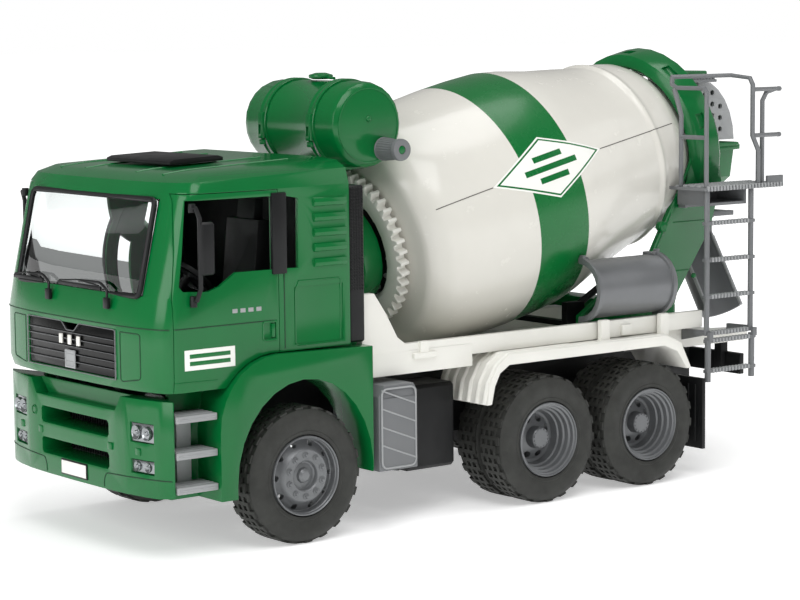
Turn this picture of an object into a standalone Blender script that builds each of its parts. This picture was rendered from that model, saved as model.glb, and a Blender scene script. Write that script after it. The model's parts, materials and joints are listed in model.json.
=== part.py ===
"""Toy cement mixer truck: a tilting cab with doors, three axles, a turning drum, hopper, chute and ladder.

Lengths are millimetres until a mesh is made. +X points forward, +Y to the truck's left and +Z up.
The ground is z = 0. Every shape is drawn from the datum, which sits DATUM_X in front of the middle of
the truck's length, and a root empty then centres the whole truck on the origin.
"""

from math import atan2, cos, pi, radians, sin

import bmesh
import bpy
from mathutils import Matrix, Vector

MM = 0.001
GAP = 0.35
DATUM_X = 14.0

# Wheels and axles.
TYRE_RADIUS = 37.0
RIM_RADIUS = 21.6
AXLE_RADIUS = 2.0
FRONT_AXLE_X = 132.5
MIDDLE_AXLE_X = -38.5
REAR_AXLE_X = -118.2
FRONT_TRACK_OUTER = 86.1
REAR_TRACK_OUTER = 86.9
FRONT_TYRE_WIDTH = 24.0
TWIN_TYRE_WIDTH = 42.0
WHEEL_SIDES = 28
RIM_SIDES = 16

# Cab.
CAB_REAR_X = 100.3
CAB_WALL = 2.4
CAB_FLOOR_Z = 104.4
TILT_X, TILT_Z = 217.0, 90.0
DOOR_HINGE_X, DOOR_HINGE_Y = 212.6, 83.0
MIRROR_X, MIRROR_Y = 201.3, 85.2

# Mixing drum: a shape turned on an axis in the middle plane that rises towards the rear.
DRUM_TILT = radians(13.18)
DRUM_FOOT = Vector((27.84, 0.0, 148.33))
DRUM_SIDES = 36
RING_TEETH = 44
PINION_TEETH = 11
TOOTH_MODULE = 2.0
PINION_CLEARANCE = 0.7
PINION_ANGLE = radians(-60)
HALF_TOOTH = 0.5

# Water tank and drive knob.
TANK_X, TANK_Y, TANK_Z, TANK_RADIUS, TANK_HALF = 61.3, 5.8, 219.5, 24.2, 44.0
TANK_SIDES = 24
KNOB_X, KNOB_Z = 51.2, 206.0

# Rear end.
CHUTE_X, CHUTE_TOP_Z = -236.0, 150.0
CHUTE_FALL = radians(59)
CHUTE_RADIUS = 16.5
CHUTE_LENGTH = 66.0
LADDER_Y = 82.0
LADDER_RAILS_X = (-169.7, -207.5)
LADDER_PITCH = 22.3
LADDER_FOLD_Y, LADDER_FOLD_Z = 85.6, 86.4
PLATFORM_Z = 173.0

FINISHES = {
    # name: (colour, roughness, metallic, alpha)
    "green_abs": ((0.012, 0.25, 0.065), 0.25, 0.0, 1.0),
    "white_abs": ((0.82, 0.81, 0.76), 0.35, 0.0, 1.0),
    "drum_abs": ((0.72, 0.71, 0.67), 0.3, 0.0, 1.0),
    "grey_abs": ((0.3, 0.31, 0.32), 0.4, 0.0, 1.0),
    "silver_abs": ((0.42, 0.43, 0.44), 0.35, 0.1, 1.0),
    "black_abs": ((0.012, 0.012, 0.013), 0.5, 0.0, 1.0),
    "tyre_pvc": ((0.02, 0.02, 0.02), 0.7, 0.0, 1.0),
    "clear_ps": ((0.9, 0.93, 0.93), 0.05, 0.0, 0.2),
    "lamp_ps": ((0.6, 0.62, 0.62), 0.15, 0.2, 1.0),
    "red_ps": ((0.5, 0.01, 0.01), 0.2, 0.0, 1.0),
    "steel_axle": ((0.55, 0.55, 0.56), 0.3, 1.0, 1.0),
}


def clear_scene():
    """Removes whatever the scene holds."""
    for obj in list(bpy.data.objects):
        bpy.data.objects.remove(obj, do_unlink=True)


def finish_material(name):
    """One Principled material for each finish."""
    if name in bpy.data.materials:
        return bpy.data.materials[name]
    colour, roughness, metallic, alpha = FINISHES[name]
    material = bpy.data.materials.new(name)
    material.use_nodes = True
    shader = material.node_tree.nodes["Principled BSDF"]
    shader.inputs["Base Color"].default_value = (*colour, 1.0)
    shader.inputs["Roughness"].default_value = roughness
    shader.inputs["Metallic"].default_value = metallic
    shader.inputs["Alpha"].default_value = alpha
    return material


def object_of(bm, name):
    """Turns a bmesh drawn in millimetres into an object, with its faces pointing out."""
    bmesh.ops.remove_doubles(bm, verts=bm.verts, dist=1e-4)
    bmesh.ops.recalc_face_normals(bm, faces=bm.faces)
    bmesh.ops.scale(bm, vec=Vector((MM, MM, MM)), verts=bm.verts)
    mesh = bpy.data.meshes.new(name)
    bm.to_mesh(mesh)
    bm.free()
    obj = bpy.data.objects.new(name, mesh)
    bpy.context.scene.collection.objects.link(obj)
    return obj


def in_plane(axis, a, b, along):
    """The point at (a, b) of the plane across the axis, this far along it."""
    return {"x": (along, a, b), "y": (a, along, b), "z": (a, b, along)}[axis]


def prism(outline, axis, low, high, name="shape"):
    """An outline across an axis, extruded from low to high along it."""
    bm = bmesh.new()
    face = bm.faces.new([bm.verts.new(in_plane(axis, a, b, low)) for a, b in outline])
    made = bmesh.ops.extrude_face_region(bm, geom=[face])
    moved = [item for item in made["geom"] if isinstance(item, bmesh.types.BMVert)]
    bmesh.ops.translate(bm, vec=Vector(in_plane(axis, 0, 0, high - low)), verts=moved)
    return object_of(bm, name)


def box(x, y, z, name="shape", bevel=0.0):
    """A box from its low and high ends along each axis, with bevelled edges if asked for."""
    bm = bmesh.new()
    bmesh.ops.create_cube(bm, size=1.0)
    spans = (x, y, z)
    for vert in bm.verts:
        vert.co = Vector([span[0] + (span[1] - span[0]) * (vert.co[i] + 0.5) for i, span in enumerate(spans)])
    if bevel:
        bmesh.ops.bevel(bm, geom=bm.edges[:], offset=bevel, segments=1, affect="EDGES")
    return object_of(bm, name)


def rod(start, end, radius, sides=10, name="shape", end_radius=None):
    """A round bar, or a cone, between two points."""
    start, end = Vector(start), Vector(end)
    bm = bmesh.new()
    turn = (end - start).to_track_quat("Z", "Y").to_matrix().to_4x4()
    bmesh.ops.create_cone(
        bm,
        cap_ends=True,
        segments=sides,
        radius1=radius,
        radius2=radius if end_radius is None else end_radius,
        depth=(end - start).length,
        matrix=Matrix.Translation((start + end) / 2) @ turn,
    )
    return object_of(bm, name)


def turned(profile, foot, axis, sides, name="shape"):
    """A closed profile of (radius, distance along the axis) points, spun round the axis through foot."""
    foot, axis = Vector(foot), Vector(axis).normalized()
    out = axis.orthogonal().normalized()
    bm = bmesh.new()
    verts = [bm.verts.new(foot + out * radius + axis * along) for radius, along in profile]
    count = len(verts)
    touching = [radius < 1e-6 for radius, _ in profile]
    edges = [
        bm.edges.new((verts[i], verts[(i + 1) % count]))
        for i in range(count)
        if not (touching[i] and touching[(i + 1) % count])
    ]
    bmesh.ops.spin(
        bm, geom=verts + edges, cent=foot, axis=axis, angle=2 * pi, steps=sides, use_merge=True
    )
    bmesh.ops.remove_doubles(bm, verts=bm.verts, dist=1e-4)
    return object_of(bm, name)


def pipe(path, radius, name="shape", resolution=1):
    """A round tube along straight runs, with closed ends."""
    curve = bpy.data.curves.new(name, "CURVE")
    curve.dimensions = "3D"
    curve.bevel_depth = radius * MM
    curve.bevel_resolution = resolution
    curve.use_fill_caps = True
    spline = curve.splines.new("POLY")
    spline.points.add(len(path) - 1)
    for point, place in zip(spline.points, path):
        point.co = (*(Vector(place) * MM), 1.0)
    holder = bpy.data.objects.new(name, curve)
    bpy.context.scene.collection.objects.link(holder)
    bpy.context.view_layer.update()
    mesh = bpy.data.meshes.new_from_object(holder.evaluated_get(bpy.context.evaluated_depsgraph_get()))
    bpy.data.objects.remove(holder)
    bm = bmesh.new()
    bm.from_mesh(mesh)
    bmesh.ops.scale(bm, vec=Vector((1 / MM,) * 3), verts=bm.verts)
    return object_of(bm, name)


def boolean(target, tools, operation):
    """Joins or cuts the target with each tool in turn, and drops the tools."""
    for tool in tools:
        modifier = target.modifiers.new("Boolean", "BOOLEAN")
        modifier.operation = operation
        modifier.object = tool
        bpy.context.view_layer.update()
        graph = bpy.context.evaluated_depsgraph_get()
        target.data = bpy.data.meshes.new_from_object(target.evaluated_get(graph))
        target.modifiers.clear()
        bpy.data.objects.remove(tool)
    return target


def fuse(target, *tools):
    """One body out of several that overlap."""
    return boolean(target, tools, "UNION")


def cut(target, *tools):
    """The target less each tool."""
    return boolean(target, tools, "DIFFERENCE")


def common(target, *tools):
    """What the target shares with each tool."""
    return boolean(target, tools, "INTERSECT")


def copy_of(obj, name="shape"):
    """A second object with its own mesh."""
    twin = obj.copy()
    twin.data = obj.data.copy()
    twin.name = name
    bpy.context.scene.collection.objects.link(twin)
    return twin


def pivot(name, place, parent, direction=(0, 0, 1)):
    """An empty on a joint's axis, with its own Z along the axis."""
    empty = bpy.data.objects.new(name, None)
    bpy.context.scene.collection.objects.link(empty)
    bpy.context.view_layer.update()
    turn = Vector(direction).to_track_quat("Z", "Y").to_matrix().to_4x4()
    world = Matrix.Translation((Vector(place) + Vector((DATUM_X, 0, 0))) * MM) @ turn
    empty.parent = parent
    if parent:
        empty.matrix_parent_inverse = parent.matrix_world.inverted()
    empty.matrix_basis = world
    bpy.context.view_layer.update()
    return empty


def node(obj, name, finish, parent, smooth=32):
    """Names a finished shape, gives it its material, and hangs it on its body's empty."""
    obj.name = name
    obj.data.name = name
    obj.data.materials.clear()
    obj.data.materials.append(finish_material(finish))
    obj.data.shade_smooth()
    obj.data.set_sharp_from_angle(angle=radians(smooth))
    obj.parent = parent
    obj.matrix_parent_inverse = parent.matrix_world.inverted()
    obj.matrix_basis = Matrix.Translation((DATUM_X * MM, 0, 0))
    return obj


def sides():
    """The truck's two sides, as a name and the sign of Y."""
    return (("left", 1), ("right", -1))


def arc(centre, radii, start, end, steps):
    """Points on an ellipse's arc, from one angle in degrees to another."""
    angles = [radians(start + (end - start) * i / steps) for i in range(steps + 1)]
    return [(centre[0] + radii[0] * cos(a), centre[1] + radii[1] * sin(a)) for a in angles]


# ---------------------------------------------------------------- wheels


def tyre_profile(width, twin):
    """From bead to bead over the tread, its flat facets on the ground."""
    bead, wall, tread = RIM_RADIUS + GAP, TYRE_RADIUS - 4.0, TYRE_RADIUS / cos(pi / WHEEL_SIDES)
    if not twin:
        return [(bead, 1.5), (wall, 0), (tread, 4.5), (tread, width - 4.5), (wall, width), (bead, width - 1.5)]
    middle = width / 2
    return [
        (bead, 1.5), (wall, 0), (tread, 4), (tread, middle - 4), (wall, middle - 1),
        (wall, middle + 1), (tread, middle + 4), (tread, width - 4), (wall, width), (bead, width - 1),
    ]


def rim_profile(width, twin):
    """From the hub's centre out to the flange and back along the barrel, with a blind hole for the axle."""
    bore = AXLE_RADIUS + GAP
    if not twin:
        return [
            (0, -1.5), (8.5, -1.5), (10, 3), (18.5, 1), (RIM_RADIUS, 1.2),
            (RIM_RADIUS, width - 2), (18.5, width - 2), (18.5, 7), (6, 7), (6, width),
            (bore, width), (bore, 5), (0, 5),
        ]
    return [
        (0, 3), (6, 3), (8.5, 13), (15, 14), (19, 1), (RIM_RADIUS, 1.2),
        (RIM_RADIUS, width - 2), (18.5, width - 2), (18.5, 19), (6, 19), (6, width),
        (bore, width), (bore, 10), (0, 10),
    ]


def make_wheelset(name, x, outer, width, twin, chassis):
    """One axle with a rim and a tyre at each end, turning together."""
    spin = pivot(name + "_pivot", (x, 0, TYRE_RADIUS), chassis, (0, 1, 0))
    deep = 10.0 if twin else 5.0
    reach = outer - deep - GAP
    axle = rod((x, -reach, TYRE_RADIUS), (x, reach, TYRE_RADIUS), AXLE_RADIUS, 12)
    node(axle, name, "steel_axle", spin)
    for side, sign in sides():
        foot = (x, sign * outer, TYRE_RADIUS)
        inward = (0, -sign, 0)
        rim = turned(rim_profile(width, twin), foot, inward, RIM_SIDES)
        node(rim, f"{name}_rim_{side}", "silver_abs", spin)
        tyre = turned(tyre_profile(width, twin), foot, inward, WHEEL_SIDES)
        node(tyre, f"{name}_tyre_{side}", "tyre_pvc", spin)


# ---------------------------------------------------------------- chassis


def make_chassis(chassis):
    """The black frame: a spine box, bearing walls, front plate with the cab's tilt pins, and the mud flaps."""
    frame = box((-215, 196), (-22, 22), (46, 70))
    tower = [box((-30, 52), (-40, 40), (40, 79.8)), box((-150, -20), (-30, 30), (60, 79.8))]
    bearings = [box((x - 9, x + 9), (-32, 32), (28, 60)) for x in (FRONT_AXLE_X, MIDDLE_AXLE_X, REAR_AXLE_X)]
    side_boxes = box((14, 50), (-66, 66), (26, 74), bevel=2)
    under_cab = box((86, 202), (-34, 34), (56, 79.8))
    front = box((190, 202.5), (-60.4, 60.4), (38, 82))
    fuse(frame, *tower, *bearings, side_boxes, under_cab, front)
    for _, sign in sides():
        arm_outline = [(198, 66), (198, 84), (212, 91.5), (217, 92.5), (219, 90), (217, 87.5), (206, 78)]
        arm = prism(arm_outline, "y", *sorted((sign * 29, sign * 34)))
        pin = rod((TILT_X, sign * 31, TILT_Z), (TILT_X, sign * 41, TILT_Z), 1.6, 12)
        flap = box((-165, -162.5), sorted((sign * 46, sign * 86)), (17, 60))
        flap_arm = box((-164.8, -157), sorted((sign * 18, sign * 60)), (52, 60.5))
        fuse(frame, arm, pin, flap, flap_arm)
    for x in (FRONT_AXLE_X, MIDDLE_AXLE_X, REAR_AXLE_X):
        cut(frame, rod((x, -80, TYRE_RADIUS), (x, 80, TYRE_RADIUS), AXLE_RADIUS + 0.5, 16))
    node(frame, "chassis_frame", "black_abs", chassis)


def make_fuel_tanks(chassis):
    """A box tank on the left and a battery box on the right, behind the front wheels."""
    for (side, sign), name in zip(sides(), ("fuel_tank", "battery_box")):
        outline = [(57.5, 33), (84, 33), (84, 74), (80, 80), (60, 80), (57.5, 76)]
        body = prism(outline, "y", *sorted((sign * 44, sign * 86)))
        rim = prism([(59, 35), (82.5, 35), (82.5, 73), (59, 73)], "y", *sorted((sign * 84, sign * 86.8)))
        node(fuse(body, rim), name, "grey_abs", chassis)


def bumper_plan(rear):
    """Half the bumper seen from above: the rounded front edge, then the rear edge."""
    front = [(223.6, 0), (223.3, 30), (222.2, 50), (219.8, 66), (216.8, 77), (213.7, 83)]
    return front + [(213.1, 83), (rear + 3, 66), (rear, 60), (rear, 0)]


def both_halves(half):
    """A plan outline closed by its mirror image across the middle plane."""
    return half + [(x, -y) for x, y in reversed(half) if y > 0]


def make_bumper(chassis):
    """Front bumper with two wide slots, a step plate above them, and pockets for the lamps."""
    bumper = prism(both_halves(bumper_plan(205.0)), "z", 33.7, 84.4)
    recess = prism([(-50, 90), (-41, 76.5), (41, 76.5), (50, 90)], "x", 200, 230)
    slots = [box((200, 230), (-35, 35), z, bevel=1.5) for z in ((61.5, 70.5), (44.5, 53.5))]
    chin = prism([(-90, 20), (-90, 35.5), (-60, 32), (60, 32), (90, 35.5), (90, 20)], "x", 200, 230)
    cut(bumper, recess, *slots, chin)
    plate = prism([(-47, 84.5), (-38.5, 75.5), (38.5, 75.5), (47, 84.5)], "x", 213.5, 216.0)
    plate_foot = box((207, 215), (-36, 36), (74.5, 77.5))
    fuse(bumper, plate, plate_foot)
    for side, sign in sides():
        for name, low, high in (("headlight", 61.8, 72.2), ("fog_light", 45.5, 53.0)):
            y = sorted((sign * 54, sign * 71.5))
            pocket = box((212, 230), y, (low, high))
            front_x = [(214.2, y[0] + GAP), (214.2, y[1] - GAP)]
            inner, outer_edge = 220.9, 217.9
            if sign > 0:
                face = [(outer_edge, y[1] - GAP), (inner, y[0] + GAP)]
            else:
                face = [(inner, y[1] - GAP), (outer_edge, y[0] + GAP)]
            cut(bumper, pocket)
            if name == "headlight":
                lamp = prism(front_x + face, "z", low + GAP, high - GAP)
                node(lamp, f"{name}_{side}", "lamp_ps", chassis)
    node(bumper, "bumper", "green_abs", chassis)


def mudguard_outline():
    """Side outline of the front mudguard: flare, tail and the blade behind the wheel."""
    flare = arc((150, 66), (37, 37.9), 0, 90, 7)
    wheel_arch = arc((132.5, 37), (44.2, 52), 176, 0, 14)
    return (
        [(187, 30)] + flare + [(88, 102.8), (88, 36.5), (88.4, 34)] + wheel_arch + [(176.7, 30)]
    )


def make_front_mudguards(chassis):
    """Arch over each front wheel, with the step well between it and the bumper."""
    for side, sign in sides():
        guard = prism(mudguard_outline(), "y", *sorted((sign * 61, sign * 86.5)))
        well = box((184, 204.3), sorted((sign * 61, sign * 64.5)), (30, 87.5))
        foot = box((150, 186), sorted((sign * 58.5, sign * 63)), (79, 87.5))
        node(fuse(guard, well, foot), f"front_mudguard_{side}", "green_abs", chassis)
        plan = [(187.5, 66.5), (207.4, 66.5), (212.6, 84.2), (187.5, 84.2)]
        treads = [
            prism([(x, sign * y) for x, y in plan], "z", *z)
            for z in ((73.2, 76.8), (54.4, 58), (36.4, 40))
        ]
        spine = box((194, 203), sorted((sign * 65, sign * 69)), (36.6, 76.6))
        node(fuse(spine, *treads), f"step_treads_{side}", "grey_abs", chassis)


def make_subframe(chassis):
    """The white deck that carries the mixer, with side beams, front gussets and the rear beam."""
    deck_section = [
        (76, 100), (76, 90), (42, 90), (38, 80.2), (-38, 80.2), (-42, 90), (-76, 90), (-76, 100),
        (-72, 100), (-72, 93), (-41, 93), (-37, 83.2), (37, 83.2), (41, 93), (72, 93), (72, 100),
    ]
    deck = prism(deck_section, "x", -172, 87.2)
    skirts, gussets, rear_beams = [], [], []
    for _, sign in sides():
        skirts.append(box((10, 87.5), sorted((sign * 71, sign * 76.3)), (83.4, 96)))
        gusset = [(87.4, 90), (87.4, 129.5), (79, 129.5), (71, 118), (63, 104), (56, 99), (56, 90)]
        gussets.append(prism(gusset, "y", *sorted((sign * 71.6, sign * 76.2))))
        beam = [(-226, 76), (-226, 82), (-180, 84.5), (-164, 92), (-150, 92), (-150, 86), (-172, 76)]
        rear_beams.append(prism(beam, "y", *sorted((sign * 43, sign * 62))))
    cross = box((-226, -206), (-60, 60), (76.5, 80))
    fuse(deck, *skirts, *gussets, *rear_beams, cross)
    node(deck, "mixer_subframe", "white_abs", chassis)


def make_rear_mudguards(chassis):
    """One long white fender over each pair of rear wheels."""
    top = [(9, 61.7), (6.5, 74), (0.5, 84), (-8, 89.4), (-131, 89.4), (-143, 84), (-151.5, 67.9)]
    under = [(-147.5, 67.9), (-139.5, 79), (-129, 83.2), (-8, 83.2), (-1, 79), (2.8, 72), (5.2, 61.7)]
    for side, sign in sides():
        fender = prism(top + under, "y", *sorted((sign * 43.5, sign * 88)))
        lugs = [
            box((x - 3.5, x + 3.5), sorted((sign * 77, sign * 81)), (88, 101.5)) for x in (-88, -136)
        ]
        node(fuse(fender, *lugs), f"rear_mudguard_{side}", "white_abs", chassis)


def make_rear_lamps(chassis):
    """Black lamp bar behind the frame, hung from the rear beam, with a pocket for a lamp at each end."""
    bar = box((-221, -217.4), (-64, 64), (55, 68))
    for _, sign in sides():
        hanger = box((-220, -214), sorted((sign * 45, sign * 51)), (57, 75.6))
        fuse(bar, hanger)
        cut(bar, box((-224, -219.4), sorted((sign * 40, sign * 62)), (57, 66)))
    node(bar, "tail_light_bar", "black_abs", chassis)


# ---------------------------------------------------------------- cab


def cab_ring(front_x, half, z_front, z_rear, inset):
    """The cab's outline at one height, a plan curve with rounded front corners."""
    front_x, half, rear_x = front_x - inset, half - inset, CAB_REAR_X + inset
    corner = [(0.3, 0.1), (0.55, 0.8), (0.75, 2.6), (0.88, 5.0), (0.95, 7.6), (0.985, 10.5), (1.0, 15.0)]
    left = [(front_x - drop, half * across) for across, drop in corner]
    plan = [(x, -y) for x, y in reversed(left)] + [(front_x, 0.0)] + left
    plan += [(rear_x, half), (rear_x, -half)]
    slope = (z_rear - z_front) / (front_x - rear_x)
    return [(x, y, z_front + slope * (front_x - x)) for x, y in plan]


def cab_solid(inset, floor_z):
    """The cab's body as rings joined from floor to roof."""
    levels = [
        (222.8, 82.7, floor_z, floor_z), (224.5, 83, 94, 94), (224.5, 83, 121.5, 121.5),
        (221.4, 83, 137.5, 137.5), (209.8, 83, 187, 187), (208.6, 83, 190.5, 190.8),
        (205.8, 80.2, 195 - inset, 199.2 - inset), (199, 72, 198.6 - inset, 203 - inset),
        (188, 56, 200 - inset, 204.2 - inset),
    ]
    bm = bmesh.new()
    rings = []
    for front_x, half, z_front, z_rear in levels:
        verts = [bm.verts.new(co) for co in cab_ring(front_x, half, z_front, z_rear, inset)]
        edges = [bm.edges.new((a, b)) for a, b in zip(verts, verts[1:] + verts[:1])]
        rings.append((verts, edges))
    for (_, low), (_, high) in zip(rings, rings[1:]):
        bmesh.ops.bridge_loops(bm, edges=low + high)
    bm.faces.new(rings[0][0])
    bm.faces.new(rings[-1][0])
    return object_of(bm, "cab")


def door_outline(inset):
    """A door from the side, past the shell's lower edge; the inset is its gap to the cab."""
    top, rear = 190.0 - inset, 146.5 + inset
    return [(212.3 - inset, 80), (212.0 - inset, 137), (204.6 - inset, top), (rear, top), (rear, 80)]


def window_outline():
    """The dipped opening of the door's window."""
    return [
        (201.8, 186.5), (208.0, 143), (206, 140.4), (191, 139.5), (184, 141.5),
        (173.5, 148.3), (150.5, 148.2), (150.5, 186.5),
    ]


def make_cab(chassis):
    """The cab's shell with its doors, windscreen, grille, hatch, interior, seats and mirrors."""
    tilt = pivot("cab_pivot", (TILT_X, 0, TILT_Z), chassis, (0, 1, 0))
    shell = cab_solid(0.0, 88.6)
    cut(shell, cab_solid(CAB_WALL, 80.0))
    for _, sign in sides():
        ear = prism([(213.6, 88.8), (213.6, 93), (217, 99), (222.9, 99), (222.6, 89.5)], "y",
                    *sorted((sign * 35.2, sign * 39)))
        fuse(shell, ear)
        louvres = [
            rod((103, sign * 82.4, z), (124, sign * 82.4, z), 2.6, 8) for z in (182, 174, 166, 158, 150)
        ]
        fuse(shell, *louvres)
        rod_cut = rod((TILT_X, sign * 34, TILT_Z), (TILT_X, sign * 43, TILT_Z), 2.1, 16)
        panel = box((105, 137), sorted((sign * 82.4, sign * 84)), (107.5, 138))
        cut(shell, rod_cut, panel)
    arch = [(90, 70), (90, CAB_FLOOR_Z), (150, CAB_FLOOR_Z)] + list(
        reversed(arc((150, 66), (37.6, 38.4), 35, 86, 6))
    ) + [(181.2, 70)]
    cut(shell, prism(arch, "y", -95, 95))
    quarter = [(143.5, 148.3), (134, 148), (133.5, 184.7), (143.5, 186.5)]
    cut(shell, prism(quarter, "y", -95, 95))
    doors = {}
    for side, sign in sides():
        span = sorted((sign * 60, sign * 95))
        door = common(copy_of(shell), prism(door_outline(GAP), "y", *span))
        cut(door, prism(window_outline(), "y", *span))
        cut(shell, prism(door_outline(0.0), "y", *span))
        doors[side] = door
    screen_half, screen_low, screen_high = 64.0, 137.6, 187.0
    screen = common(
        copy_of(shell),
        box((190, 230), (GAP - screen_half, screen_half - GAP), (screen_low + GAP, screen_high - GAP)),
    )
    cut(shell, box((190, 230), (-screen_half, screen_half), (screen_low, screen_high)))
    grille_hole = [(-45, 93.6), (45, 93.6), (45, 119), (-45, 119)]
    cut(shell, prism(grille_hole, "x", 219, 230))
    node(shell, "cab_shell", "green_abs", tilt)
    node(screen, "windscreen", "clear_ps", tilt)
    make_grille(tilt)
    make_cab_interior(tilt)
    for side, sign in sides():
        hinge = pivot(f"door_{side}_pivot", (DOOR_HINGE_X, sign * DOOR_HINGE_Y, 0), tilt)
        make_door(doors[side], side, sign, hinge)


def make_door(door, side, sign, hinge):
    """A door with its handle recess, and the mirror that folds on it."""
    handle = box((148.8, 156.5), sorted((sign * 82.0, sign * 84)), (112, 120.5))
    cut(door, handle)
    node(door, f"door_{side}", "green_abs", hinge)
    fold = pivot(f"mirror_{side}_pivot", (MIRROR_X, sign * MIRROR_Y, 0), hinge)
    path = [(MIRROR_X, MIRROR_Y, 183.3), (MIRROR_X, 88.5, 183.3), (199.5, 89.3, 178),
            (199.5, 89.3, 142), (MIRROR_X, 88.5, 136.2), (MIRROR_X, MIRROR_Y, 135.6)]
    arm = pipe([(x, sign * y, z) for x, y, z in path], 1.3)
    pins = [
        rod((MIRROR_X, sign * MIRROR_Y, z), (MIRROR_X, sign * MIRROR_Y, z + tall), 1.9, 12)
        for z, tall in ((132.6, 5.6), (180.9, 4.4))
    ]
    head = box((191.5, 200.2), sorted((sign * 87.6, sign * 91.8)), (149, 176), bevel=1.2)
    node(fuse(arm, *pins, head), f"mirror_{side}", "black_abs", fold)


def make_grille(tilt):
    """Dark grille plate with raised slats, in the front opening."""
    notch = [
        (-44.6, 94), (44.6, 94), (44.6, 118.6), (8, 118.6), (3.5, 115), (-3.5, 115), (-8, 118.6), (-44.6, 118.6),
    ]
    plate = prism(notch, "x", 221.0, 223.4)
    slats = [box((222.5, 224.4), (-42.5, 42.5), (z - 0.5, z + 0.5)) for z in (98.2, 102.2, 106.2, 110.2, 113.6)]
    node(fuse(plate, *slats), "grille", "black_abs", tilt)


def make_cab_interior(tilt):
    """Floor, dashboard, rear lining, two seats, steering wheel, roof hatch and air intake."""
    floor = box((103.2, 188), (-78, 78), (105, 107.5))
    dash = prism([(186, 106), (186, 122), (196, 135), (213, 135), (214.5, 128), (214.5, 106)], "y", -68, 68)
    tunnel = box((108, 190), (-16, 16), (106, 117))
    lining = box((103.2, 105.4), (-78, 78), (106, 184))
    shelf = box((104, 132), (-78, 78), (106, 120))
    inner = fuse(floor, dash, tunnel, lining, shelf)
    node(inner, "cab_interior", "black_abs", tilt)
    bench = box((138, 160), (-30, 30), (117.4, 121))
    for _, sign in sides():
        seat = box((134, 168), sorted((sign * 26, sign * 58)), (108, 128), bevel=3)
        back = prism([(134, 124), (146, 124), (141, 172), (133.2, 172)], "y", *sorted((sign * 27, sign * 57)))
        head = prism([(133.5, 168), (140, 168), (138, 183), (133, 183)], "y", *sorted((sign * 34, sign * 50)))
        fuse(bench, seat, back, head)
    node(bench, "seats", "black_abs", tilt)
    wheel_centre, column = Vector((176.5, 42, 143.5)), Vector((0.64, 0, -0.77))
    ring = turned([(12.4, -1.3), (15, -1.3), (15, 1.3), (12.4, 1.3)], wheel_centre, column, 20)
    spoke = box((-13.2, 13.2), (-1.6, 1.6), (-0.9, 0.9))
    spoke.data.transform(Matrix.Rotation(-atan2(0.64, 0.77), 4, "Y"))
    spoke.data.transform(Matrix.Translation(wheel_centre * MM))
    stem = rod(wheel_centre - column * 1.5, wheel_centre + column * 14.5, 2.4, 10)
    cross = rod(wheel_centre - Vector((0, 13.2, 0)), wheel_centre + Vector((0, 13.2, 0)), 1.2, 8)
    node(fuse(ring, spoke, stem, cross), "steering_wheel", "black_abs", tilt)
    slope = 3.4 / 86.0
    hatch_outline = [(x, 200.45 + (199 - x) * slope + up) for x, up in
                     ((180, 0.5), (180, 2.4), (177, 3.4), (149, 3.4), (146, 2.4), (146, 0.5))]
    node(prism(hatch_outline, "y", -32, 32), "roof_hatch", "black_abs", tilt)
    intake = box((89.8, 99.9), (62, 82.6), (104.9, 189.5), bevel=1.0)
    node(intake, "air_intake", "black_abs", tilt)


# ---------------------------------------------------------------- mixer


def drum_axis():
    """Unit vector along the drum's axis, towards the rear."""
    return Vector((-cos(DRUM_TILT), 0, sin(DRUM_TILT)))


def gear(teeth, root, tip, bore, low, high, centre, axis, phase=0.0, name="shape"):
    """A spur gear with straight-sided teeth; the phase turns it, in tooth pitches."""
    across = Vector((sin(DRUM_TILT), 0, cos(DRUM_TILT)))
    other = axis.cross(across)
    pitch = 2 * pi / teeth
    bm = bmesh.new()
    outline = []
    for tooth in range(teeth):
        for share, radius in ((-0.33, root), (-0.13, tip), (0.13, tip), (0.33, root)):
            angle = (tooth + share + phase) * pitch
            outline.append(centre + (across * cos(angle) + other * sin(angle)) * radius + axis * low)
    face = bm.faces.new([bm.verts.new(co) for co in outline])
    made = bmesh.ops.extrude_face_region(bm, geom=[face])
    moved = [item for item in made["geom"] if isinstance(item, bmesh.types.BMVert)]
    bmesh.ops.translate(bm, vec=axis * (high - low), verts=moved)
    wheel = object_of(bm, name)
    return cut(wheel, rod(centre + axis * (low - 2), centre + axis * (high + 2), bore, 24))


def make_drum(chassis):
    """The drum shell, open at the rear, the gear ring on its nose, and the pinion beside it."""
    axis = drum_axis()
    turn = pivot("drum_pivot", DRUM_FOOT, chassis, axis)
    outer = [
        (7, -14), (7, -3), (56, -1.2), (62.5, 4.5), (67.8, 12.7), (72, 36), (74.2, 71.5), (74.2, 92),
        (73.7, 109.9), (66, 144), (57.4, 187), (58.6, 190.5), (57, 194), (54, 209), (50.2, 216.2),
        (46, 219.5), (46, 222.5),
    ]
    inner = [(43.8, 222.5), (55, 189), (71.5, 109), (71.6, 72), (59, 6.5), (0, 2), (0, -14)]
    shell = turned(outer + inner, DRUM_FOOT, axis, DRUM_SIDES)
    node(shell, "drum_shell", "drum_abs", turn, smooth=25)
    root, tip = 42.0, 46.0
    ring = gear(RING_TEETH, root, tip, 33.0, -10.0, -3.9, DRUM_FOOT, axis)
    hub_ring = turned([(30, -5.2), (41, -5.2), (41, -3.3), (30, -3.3)], DRUM_FOOT, axis, 24)
    node(fuse(ring, hub_ring), "drum_gear_ring", "white_abs", turn)
    make_pinion(chassis, axis)


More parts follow.
